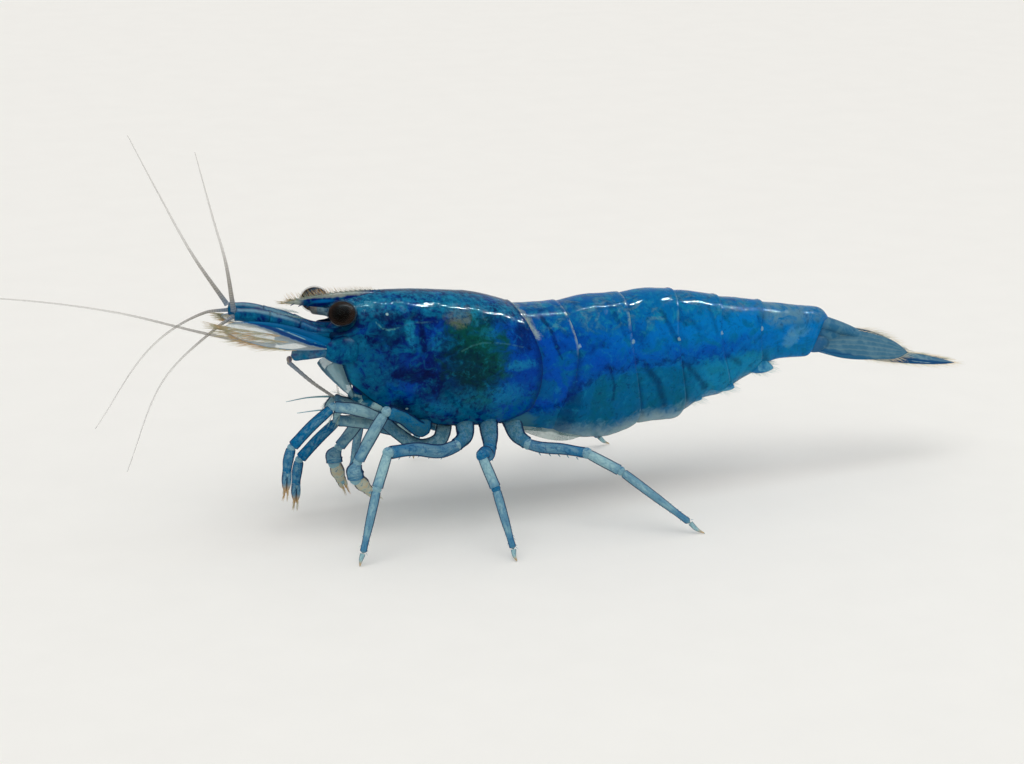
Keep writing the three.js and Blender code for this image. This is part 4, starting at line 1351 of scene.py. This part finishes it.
class SHRIMP_OT_walking_legs(bpy.types.Operator):
    """Model the third to fifth pairs of legs, segment by segment, with their spines and claws"""
    bl_idname = "shrimp.walking_legs"
    bl_label = "Walking legs"

    def execute(self, context):
        finishes = {"3": leg_finish("ThirdLegSkin", (0.75, 0.7, 0.75, 0.2, 0.55, 0.1, 0.3, 0.3)),
                    "4": leg_finish("FourthLegSkin", (0.7, 0.7, 0.95, 0.3, 0.6, 0.1, 1.0, 0.3)),
                    "5": leg_finish("FifthLegSkin", (0.65, 0.6, 0.75, 0.2, 0.5, 0.1, 0.4, 0.3))}
        for (number, name), joints in WALKING_LEGS.items():
            model = Model()
            self.leg(model, *joints, *LEG_BUILDS[number], random.Random(int(number)))
            model.finish(f"Leg{number}{name.title()}", finishes[number], "legs",
                         [f"leg_{number}_{name}_upper", f"leg_{number}_{name}_lower"])
        return {"FINISHED"}

    def leg(self, model, hip, base, knee, wrist, foot, stout, droop, chance):
        side = LIMB_FACE
        crook = between(hip, base, 0.42)
        bend = between(base, knee, 0.3) + Vector((0, 0, droop))
        turn = between(base, bend, 0.4)
        ankle = between(wrist, foot, 0.83)
        segment(model, path(hip, between(hip, crook, 0.5), crook), side, (0.44, 0.42, 0.38),
                leg_patch("coxa"), 0.9, 0.12)
        segment(model, path(between(hip, base, 0.3), between(hip, base, 0.78), turn), side,
                (0.36, 0.32, 0.26), leg_patch("ischium"), 0.85, 0.08, 26)
        segment(model, path(between(base, turn, 0.6), bend, between(base, knee, 0.65), knee), side,
                (0.25 * stout, 0.27 * stout, 0.24 * stout), leg_patch("merus"), 0.85, 0.04, 26)
        segment(model, path(between(knee, wrist, 0.03), between(knee, wrist, 0.5), wrist), side,
                (0.19, 0.205, 0.205), leg_patch("carpus"), 0.9)
        segment(model, path(between(wrist, foot, 0.01), between(wrist, foot, 0.42), ankle), side,
                (0.175, 0.165, 0.125), leg_patch("propodus"), 0.9, 0.04, 26)
        toe = Vector(foot) + Vector((0, 0, 0.02))
        hook = between(ankle, foot, 0.5) + Vector((0, -0.03, -0.03))
        model.tube(path(ankle, hook, toe), side, profile((0, 0.1), (0.4, 0.08), (1, 0.015)),
                   profile((0, 0.08), (0.4, 0.06), (1, 0.012)), 10, 12, leg_patch("claw"))
        for spot, size in ((turn, 0.23), (knee, 0.22), (wrist, 0.18)):
            model.ball(spot, (size, size, size), leg_patch("membrane"))
        self.spines(model, path(base, bend, between(base, knee, 0.65), knee), chance)
        self.comb(model, path(wrist, between(wrist, ankle, 0.5), ankle), chance)

    def spines(self, model, line, chance):
        """Stout spines under the merus."""
        for i in range(5):
            t = 0.3 + 0.14 * i
            ahead, out, across = frame_at(line, LIMB_FACE, t)
            down = across if across.z < 0 else -across
            root = line(t) + down * 0.22
            tip = root + down * 0.1 + ahead * 0.1 + out * chance.uniform(-0.03, 0.03)
            model.spike(root, tip, 0.03, 5, leg_patch("spine"))

    def comb(self, model, line, chance):
        """A row of short bristles along the propodus."""
        last = 17
        for i in range(last + 1):
            t = 0.12 + 0.86 * i / last
            ahead, out, across = frame_at(line, LIMB_FACE, t)
            back = across * (1 if i % 3 else -1)
            root = line(t) + back * 0.12
            tip = root + back * 0.06 + ahead * 0.09 + out * chance.uniform(-0.03, 0.03)
            model.spike(root, tip, 0.012, patch=leg_patch("spine"))


# Feeding legs: the line of each segment, and its radii at the start, middle and end.
FEEDING_LEGS = {
    ("1", "left"): {
        "ischium": ((0.9, -3.9, 4.2), (1.7, -4.3, 4.0), (1.95, -5.1, 4.6), (2.0, -5.75, 4.92)),
        "merus": ((1.98, -5.8, 4.88), (1.83, -6.35, 3.9), (1.68, -6.82, 2.95)),
        "carpus": ((1.68, -6.82, 2.92), (1.64, -6.92, 2.6), (1.6, -6.88, 2.28)),
        "propodus": ((1.6, -6.85, 2.32), (1.56, -6.6, 2.0), (1.52, -6.35, 1.72)),
        "tip": (1.45, -5.98, 1.36),
    },
    ("1", "right"): {
        "ischium": ((-0.9, -3.9, 4.2), (-1.7, -4.3, 4.0), (-1.75, -5.0, 3.86), (-1.74, -5.5, 3.75)),
        "merus": ((-1.74, -5.5, 3.75), (-1.71, -6.1, 3.05), (-1.7, -6.6, 2.5)),
        "carpus": ((-1.7, -6.62, 2.48), (-1.7, -6.78, 2.2), (-1.67, -6.78, 1.9)),
        "propodus": ((-1.67, -6.76, 1.92), (-1.64, -6.65, 1.5), (-1.62, -6.52, 1.15)),
        "tip": (-1.6, -6.34, 0.75),
    },
    ("2", "left"): {
        "ischium": ((0.8, -3.0, 4.1), (1.3, -3.45, 3.35), (1.3, -4.2, 3.2), (1.2, -5.1, 3.8),
                    (1.15, -5.75, 4.45)),
        "merus": ((1.15, -5.75, 4.45), (1.12, -6.7, 4.86), (1.1, -7.6, 5.05)),
        "carpus": ((1.1, -7.6, 5.02), (1.1, -8.4, 4.4), (1.1, -9.24, 3.6)),
        "propodus": ((1.1, -9.24, 3.6), (1.1, -9.38, 3.1), (1.1, -9.44, 2.6)),
        "tip": (1.1, -9.5, 1.72),
    },
    ("2", "right"): {
        "ischium": ((-0.8, -3.0, 4.1), (-1.25, -3.45, 3.3), (-1.2, -4.3, 3.15), (-1.0, -5.4, 3.5)),
        "merus": ((-1.0, -5.4, 3.5), (-0.97, -6.1, 3.72), (-0.95, -6.85, 3.84)),
        "carpus": ((-0.95, -6.85, 3.82), (-0.95, -7.6, 3.2), (-0.95, -8.4, 2.42)),
        "propodus": ((-0.95, -8.4, 2.4), (-0.95, -8.5, 1.9), (-0.95, -8.55, 1.4)),
        "tip": (-0.95, -8.58, 0.58),
    },
}
FEEDING_SIZES = {
    "1": {"ischium": (0.32, 0.3, 0.26), "merus": (0.22, 0.24, 0.22), "carpus": (0.2, 0.34, 0.32),
          "propodus": (0.24, 0.28, 0.2)},
    "2": {"ischium": (0.3, 0.27, 0.24), "merus": (0.2, 0.25, 0.22), "carpus": (0.19, 0.21, 0.21),
          "propodus": (0.19, 0.2, 0.17)},
}


class SHRIMP_OT_feeding_legs(bpy.types.Operator):
    """Model the first and second pairs of legs, which end in brush-tipped claws"""
    bl_idname = "shrimp.feeding_legs"
    bl_label = "Feeding legs"

    brush_hairs = 26  # on each finger

    def execute(self, context):
        finishes = {"1": leg_finish("FirstLegSkin", (0.9, 1.0, 0.4, 0.6, 0.0, 0.0, 0.3, 0.1), 1.0),
                    "2": leg_finish("SecondLegSkin", (0.4, 0.35, 0.3, 1.0, 0.9, 0.7, 0.4, 0.1))}
        for (number, name), leg in FEEDING_LEGS.items():
            model = Model()
            for part, radii in FEEDING_SIZES[number].items():
                segment(model, path(*leg[part]), LIMB_FACE, radii, leg_patch(part), 0.88, 0.07)
                model.ball(leg[part][-1], (radii[2] * 0.8,) * 3, leg_patch("membrane"))
            side = limb_plane(leg["merus"][0], leg["carpus"][0], leg["tip"])
            hairs = self.claw(model, Vector(leg["propodus"][-1]), Vector(leg["tip"]), side)
            model.finish(f"Leg{number}{name.title()}", finishes[number], "legs", [f"leg_{number}_{name}"])
            bristles(f"Brush{number}{name.title()}", f"BrushHair{number}{name}", colours().amber, "legs",
                     hairs, 1.2)
        return {"FINISHED"}

    def claw(self, model, palm, tip, side):
        """Two fingers that close on each other, and the brush on their tips."""
        chance = random.Random(7)
        ahead = (tip - palm).normalized()
        across = side.cross(ahead).normalized()
        hairs = []
        for turn in (1, -1):
            root = palm - ahead * 0.12 + across * (0.08 * turn)
            middle = (palm + tip) / 2 + across * (0.085 * turn)
            end = tip - ahead * 0.1 + across * (0.02 * turn)
            model.tube(path(root, middle, end), side,
                       profile((0, 0.09), (0.4, 0.095), (0.85, 0.05), (1, 0.0)),
                       profile((0, 0.14), (0.4, 0.14), (0.85, 0.07), (1, 0.0)), 10, 14, leg_patch("claw"))
            for _ in range(self.brush_hairs):
                spread = Vector((chance.uniform(-1, 1), chance.uniform(-1, 1), chance.uniform(-1, 1))) * 0.14
                start = end - ahead * (0.35 * chance.random()) + across * (0.03 * turn)
                reach = sizes().brush / MM * chance.uniform(0.6, 1.0)
                hairs.append((start, start + (ahead + spread + across * (0.12 * turn)).normalized() * reach))
        return hairs


class SHRIMP_OT_mouth(bpy.types.Operator):
    """Model the underside of the thorax, the mouthparts and the maxillipeds"""
    bl_idname = "shrimp.mouth"
    bl_label = "Mouthparts"

    def execute(self, context):
        tone = colours()
        pale = plain_finish("BellySkin", tone.mist, tone.teal, 2.0, 0.3)
        deep = plain_finish("FaceSkin", tone.navy, tone.teal, 1.6, 0.25)
        self.thorax(pale)
        self.face(deep)
        self.jaws(deep)
        self.maxillipeds()
        self.skirts(plain_finish("SkirtSkin", srgb(168, 188, 182), srgb(132, 156, 152), 1.6, 0.4, 0.5))
        return {"FINISHED"}

    def skirts(self, finish):
        """Clear skin between the last legs and the first swimmerets."""
        model = Model()
        for side in (1, -1):
            line = path(*flip([(1.2, -0.9, 4.15), (1.3, 0.4, 3.6), (1.35, 1.7, 3.1), (1.2, 3.0, 3.05)], side))
            model.tube(line, (side, 0, 0.3), profile((0, 0.2), (0.35, 0.42), (0.7, 0.28), (1, 0.03)),
                       lambda t: 0.05 * rounded(t, 0.1), 16, 30)
        model.finish("Skirts", finish, "underside")

    def thorax(self, finish):
        model = Model()

        def place(u, v):
            y = -4.9 + v * 5.4
            angle = TURN * u
            close = rounded(v, 0.08)
            groove = 0.1 * math.cos(v * 5 * TURN) * (1 if math.cos(angle) < 0 else 0)
            x = 1.05 * signed_power(math.sin(angle), 0.75) * close
            return Vector((x, y, 4.25 + groove + 0.72 * signed_power(math.cos(angle), 0.8) * close))
        model.lay(place, 36, 70)
        for side in (1, -1):
            model.ball((0.8 * side, -5.5, 4.85), (0.35, 0.95, 0.42), segments=24)
        model.finish("ThoraxFloor", finish, "underside", ["thorax"])

    def face(self, finish):
        """The flesh that fills the carapace's front opening."""
        model = Model()
        model.tube(path((0, -4.8, 7.3), (0, -6.4, 7.4), (0, -7.45, 7.5)), (1, 0, 0),
                   profile((0, 0.9), (0.6, 1.05), (1, 0.35)),
                   profile((0, 1.2), (0.6, 1.12), (1, 0.7)), 28, 30)
        model.finish("Face", finish, "head_limbs")

    def jaws(self, finish):
        model = Model()
        model.tube(path((0, -4.9, 4.85), (0, -5.9, 5.4), (0, -6.7, 6.5)), (1, 0, 0),
                   profile((0, 0.25), (0.5, 0.4), (1, 0.3)),
                   profile((0, 0.45), (0.5, 0.55), (1, 0.4)), 20, 24)
        for side in (1, -1):
            for i in range(4):
                y = -5.0 - 0.34 * i
                line = path((side * 0.5, y, 4.75 + 0.3 * i), (side * 0.75, y - 0.3, 4.55 + 0.33 * i),
                            (side * 0.6, y - 0.62, 4.6 + 0.35 * i))
                model.tube(line, (side, 0, 0), lambda t: 0.26 * rounded(t, 0.3),
                           lambda t: 0.07 * rounded(t, 0.3), 14, 14)
        model.finish("Jaws", finish, "underside", ["mouthparts"])
        palps = Model()
        for side in (1, -1):
            line = path(*flip([(0.5, -6.6, 5.15), (0.5, -6.95, 5.75), (0.5, -7.4, 6.6)], side))
            half = profile((0, 0.05), (0.4, 0.24), (0.9, 0.4), (0.97, 0.38), (1, 0.25))
            palps.tube(line, (side, 0, 0), half, lambda t: 0.035 * rounded(t, 0.06), 16, 30, turn=-side)
        plate = blade_finish("PalpBlade", srgb(158, 204, 216), srgb(8, 56, 90), upper=-1.3, clear=0.5,
                             slant=0.2, edge=0.72)
        palps.finish("MouthPlates", plate, "underside")

    def maxillipeds(self):
        finish = leg_finish("MaxillipedSkin", (0.4, 0.3, 0.35, 0.2, 0.3, 0.2, 0.05, 0.2))
        for name, side in SIDES:
            model = Model()
            hairs = []
            parts = (
                ("ischium", ((0.4, -4.7, 4.15), (0.62, -5.3, 4.2), (0.75, -5.9, 4.45)), (0.24, 0.22, 0.18)),
                ("merus", ((0.75, -5.9, 4.45), (0.72, -6.5, 4.62), (0.66, -7.05, 4.9)), (0.17, 0.19, 0.16)),
                ("carpus", ((0.66, -7.05, 4.9), (0.6, -7.3, 4.6), (0.58, -7.45, 4.25)), (0.13, 0.14, 0.06)),
            )
            for part, points, radii in parts:
                line = path(*flip(points, side))
                segment(model, line, (side, 0, 0), radii, leg_patch(part), 0.8, 0.1)
                hairs += fringe_of(line, (side, 0, 0), lambda t, wide=radii[1]: wide, 16, 0.32, 31, 0.2,
                                   sweep=0.75)
            whip = path(*flip(
                [(0.8, -5.3, 4.3), (0.95, -6.6, 4.75), (0.9, -7.9, 4.9), (0.8, -8.9, 4.85)], side))
            taper = profile((0, 0.07), (0.4, 0.05), (1, 0.012))
            model.tube(whip, (0, 0, 1), taper, taper, 8, 30, leg_patch("membrane"))
            model.finish(f"Maxilliped{name.title()}", finish, "legs", [f"maxilliped_{name}"])
            bristles(f"MaxillipedHairs{name.title()}", f"MaxHair{name}", colours().mist, "legs", hairs)


SHORT_RINGS, LONG_RINGS = 78, 190
HEAD_PARTS = 4  # bands of a head limb's pattern map: three segments and the amber joint


def head_patch(index):
    return strip_patch(index, HEAD_PARTS)


def feeler(model, line, root, tip, rings):
    """A tapering feeler with fine rings."""
    rows = min(rings * 2, 260)

    def size(t):
        ripple = 1 + 0.06 * math.sin(t * rings * TURN)
        return (root + (tip - root) * t ** 0.5) * ripple
    model.tube(line, (0.3, 0.4, 1.0), size, size, 8, rows)


ANTENNULES = {
    "left": {
        "upper": ((0.5, -11.15, 8.95), (0.95, -11.5, 10.9), (1.8, -12.1, 12.7), (3.1, -13.0, 15.5)),
        "lower": ((0.5, -11.15, 8.75), (0.85, -11.9, 8.45), (1.8, -14.15, 6.93), (2.8, -15.83, 3.9)),
    },
    "right": {
        "upper": ((-0.5, -11.15, 8.95), (-0.7, -12.35, 10.9), (-1.1, -13.5, 13.3), (-1.5, -14.45, 15.4)),
        "lower": ((-0.5, -11.15, 8.75), (-0.55, -12, 8.7), (-0.9, -13.85, 7.6), (-1.4, -16.14, 4.36)),
    },
}


class SHRIMP_OT_antennules(bpy.types.Operator):
    """Model the antennules: three stout segments and two ringed feelers each"""
    bl_idname = "shrimp.antennules"
    bl_label = "Antennules"

    def execute(self, context):
        finish = head_limb_finish()
        ringed = feeler_finish(SHORT_RINGS)
        for name, side in SIDES:
            model = Model()
            stops = (
                (((0.5, -6.8, 7.55), (0.5, -7.9, 7.7), (0.5, -8.8, 8.1)), (0.34, 0.33, 0.33)),
                (((0.49, -8.68, 8.05), (0.48, -9.3, 8.32), (0.48, -9.9, 8.52)), (0.32, 0.31, 0.31)),
                (((0.48, -9.8, 8.5), (0.48, -10.5, 8.7), (0.48, -11.15, 8.82)), (0.3, 0.29, 0.24)),
            )
            for index, (points, radii) in enumerate(stops):
                segment(model, path(*flip(points, side)), (-1, 0, 0), radii, head_patch(index), 0.95, 0.05)
            spur = path(*flip([(0.8, -7.2, 7.7), (0.92, -8.1, 7.85), (0.86, -8.9, 8.15)], side))
            model.tube(spur, (side, 0, 0), profile((0, 0.14), (0.5, 0.1), (1, 0.01)),
                       profile((0, 0.08), (0.5, 0.06), (1, 0.01)), 10, 16, head_patch(0))
            model.finish(f"Antennule{name.title()}", finish, "head_limbs", [f"antennule_{name}"])
            for rank, points in ANTENNULES[name].items():
                whip = Model()
                root = sizes().feeler_root / MM * (1.15 if rank == "upper" else 0.8)
                feeler(whip, path(*points), root, sizes().feeler_tip / MM, SHORT_RINGS)
                whip.finish(f"Feeler{rank.title()}{name.title()}", ringed, "flagella",
                            [f"antennule_{name}_{rank}_flagellum"])
            bristles(f"AntennuleHairs{name.title()}", f"AntennuleHair{name}", colours().mist, "head_limbs",
                     self.hairs(side))
        return {"FINISHED"}

    def hairs(self, side):
        """A row of fine hairs along the top of the segments."""
        chance = random.Random(17)
        for i in range(36):
            y = -8.4 - 0.05 * i
            x = side * 0.48
            yield (Vector((x, y, 8.58 + (y + 9.3) * -0.22)),
                   Vector((x + chance.uniform(-0.1, 0.1), y - 0.3, 8.78 + (y + 9.3) * -0.24)))


ANTENNAE = {
    "left": ((1.12, -9.26, 6.95), (0.6, -8.3, 6.0), (-0.8, -7.0, 4.85), (-2.7, -6.2, 4.0),
             (-4.8, -5.6, 4.5), (-6.2, -2.8, 5.2), (-6.6, 1, 5.2), (-6.6, 6, 4.6)),
    "right": ((-1.15, -9.3, 7.05), (-1.65, -9.7, 7.0), (-3, -11.34, 7.2), (-5.5, -14.5, 7.75),
              (-8.5, -18.37, 7.9), (-11, -21.8, 7.6)),
}


class SHRIMP_OT_antennae(bpy.types.Operator):
    """Model the antennae: base, scale with its fringe, peduncle and long feeler"""
    bl_idname = "shrimp.antennae"
    bl_label = "Antennae"

    def execute(self, context):
        finish = head_limb_finish("AntennaSkin", 0.15)
        scale_finish = blade_finish("ScaleBlade", srgb(188, 198, 198), srgb(12, 94, 142), upper=0.9,
                                    clear=0.62, slant=2.2, blotch=0.15, bands=0.75)
        ringed = feeler_finish(LONG_RINGS)
        for name, side in SIDES:
            self.peduncle(name, side, finish)
            self.scale(name, side, scale_finish)
            whip = Model()
            feeler(whip, path(*ANTENNAE[name]), sizes().feeler_root / MM * 0.9, sizes().feeler_tip / MM,
                   LONG_RINGS)
            whip.finish(f"LongFeeler{name.title()}", ringed, "flagella", [f"antenna_{name}_flagellum"])
        return {"FINISHED"}

    def peduncle(self, name, side, finish):
        model = Model()
        above = (-1, 0, 0)
        segment(model, path(*flip([(0.95, -6.5, 7.2), (1.1, -7.2, 7.22), (1.18, -7.95, 7.3)], side)), above,
                (0.5, 0.55, 0.4), head_patch(0), 0.8, 0.25)
        segment(model, path(*flip([(1.18, -7.7, 7.26), (1.2, -8.5, 7.26), (1.2, -9.2, 7.22)], side)), above,
                (0.21, 0.24, 0.23), head_patch(1), 0.9, 0.16)
        model.ball((1.17 * side, -9.25, 7.08), (0.12, 0.11, 0.13), head_patch(3))
        model.finish(f"Antenna{name.title()}", finish, "head_limbs", [f"antenna_{name}"])

    def scale(self, name, side, finish):
        """The antennal scale: a thin blade, the rib along its outer edge and its hairs."""
        stops = [(1.2, -7.7, 7.45), (1.3, -9.2, 7.88), (1.28, -10.6, 8.24), (1.15, -11.75, 8.52)]
        if side < 0:
            stops = [between(stops[0], stop, 0.88) for stop in stops]
        line = path(*flip(stops, side))
        half = profile((0, 0.15), (0.25, 0.42), (0.5, 0.56), (0.75, 0.5), (0.92, 0.28), (1, 0.02))
        stand = Vector((0.62 * side, 0, 0.78))
        scale = Model()
        scale.tube(line, stand, half, lambda t: sizes().blade / MM * rounded(t, 0.1), 28, 44, turn=side)
        rib = path(*(line(t) - frame_at(line, stand, t)[2] * (half(t) * 0.9 * side)
                     for t in (0, 0.2, 0.4, 0.6, 0.8, 0.93)))
        scale.tube(rib, stand, profile((0, 0.2), (0.5, 0.13), (1, 0.0)),
                   profile((0, 0.16), (0.5, 0.1), (1, 0.0)), 10, 30, ((0.45, 0.1), (0.55, 0.5)))
        scale.finish(f"AntennalScale{name.title()}", finish, "fins", [f"antennal_scale_{name}"])
        reach = sizes().scale_fringe / MM * (1.0 if side > 0 else 0.6)
        bristles(f"ScaleFringe{name.title()}", f"ScaleHair{name}", srgb(208, 178, 136), "fins", [
            *fringe_of(line, stand, half, 110, reach, 41, 0.3, (side,), 0.8),
            *fringe_of(line, stand, lambda t: half(t) * 0.4, 80, reach, 42, 0.4, (side,), 0.75, 0.05),
            *fringe_of(line, stand, lambda t: half(t) * -0.1, 80, reach, 43, 0.45, (side,), 0.75, 0.05)], 1.3)


OPERATORS = (
    SHRIMP_OT_stage, SHRIMP_OT_carapace, SHRIMP_OT_rostrum, SHRIMP_OT_pleon, SHRIMP_OT_tail_fan,
    SHRIMP_OT_swimmerets, SHRIMP_OT_eyes, SHRIMP_OT_walking_legs, SHRIMP_OT_feeding_legs, SHRIMP_OT_mouth,
    SHRIMP_OT_antennules, SHRIMP_OT_antennae,
)


class SHRIMP_PT_panel(bpy.types.Panel):
    """Lists the shrimp's sizes, colours, stage and pieces"""
    bl_idname = "SHRIMP_PT_panel"
    bl_label = "Shrimp"
    bl_space_type = "VIEW_3D"
    bl_region_type = "UI"
    bl_category = "Shrimp"

    def draw(self, context):
        for group in (context.scene.shrimp_sizes, context.scene.shrimp_colours, context.scene.shrimp_stage):
            box = self.layout.box()
            for name in group.__annotations__:
                box.prop(group, name)
        for operator in OPERATORS:
            self.layout.operator(operator.bl_idname)


GROUPS = {"shrimp_sizes": ShrimpSizes, "shrimp_colours": ShrimpColours, "shrimp_stage": ShrimpStage}


def register():
    for cls in (*GROUPS.values(), *OPERATORS, SHRIMP_PT_panel):
        bpy.utils.register_class(cls)
    for name, group in GROUPS.items():
        setattr(bpy.types.Scene, name, bpy.props.PointerProperty(type=group))


def unregister():
    for name in GROUPS:
        delattr(bpy.types.Scene, name)
    for cls in reversed((*GROUPS.values(), *OPERATORS, SHRIMP_PT_panel)):
        bpy.utils.unregister_class(cls)


def main():
    register()
    for operator in OPERATORS:
        getattr(bpy.ops.shrimp, operator.bl_idname.split(".")[1])()
    boxes = {"cad": CAD_BOX, "visual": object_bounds()}
    {name: [list(corner) for corner in box] for name, box in boxes.items()}


if __name__ == "__main__":
    main()
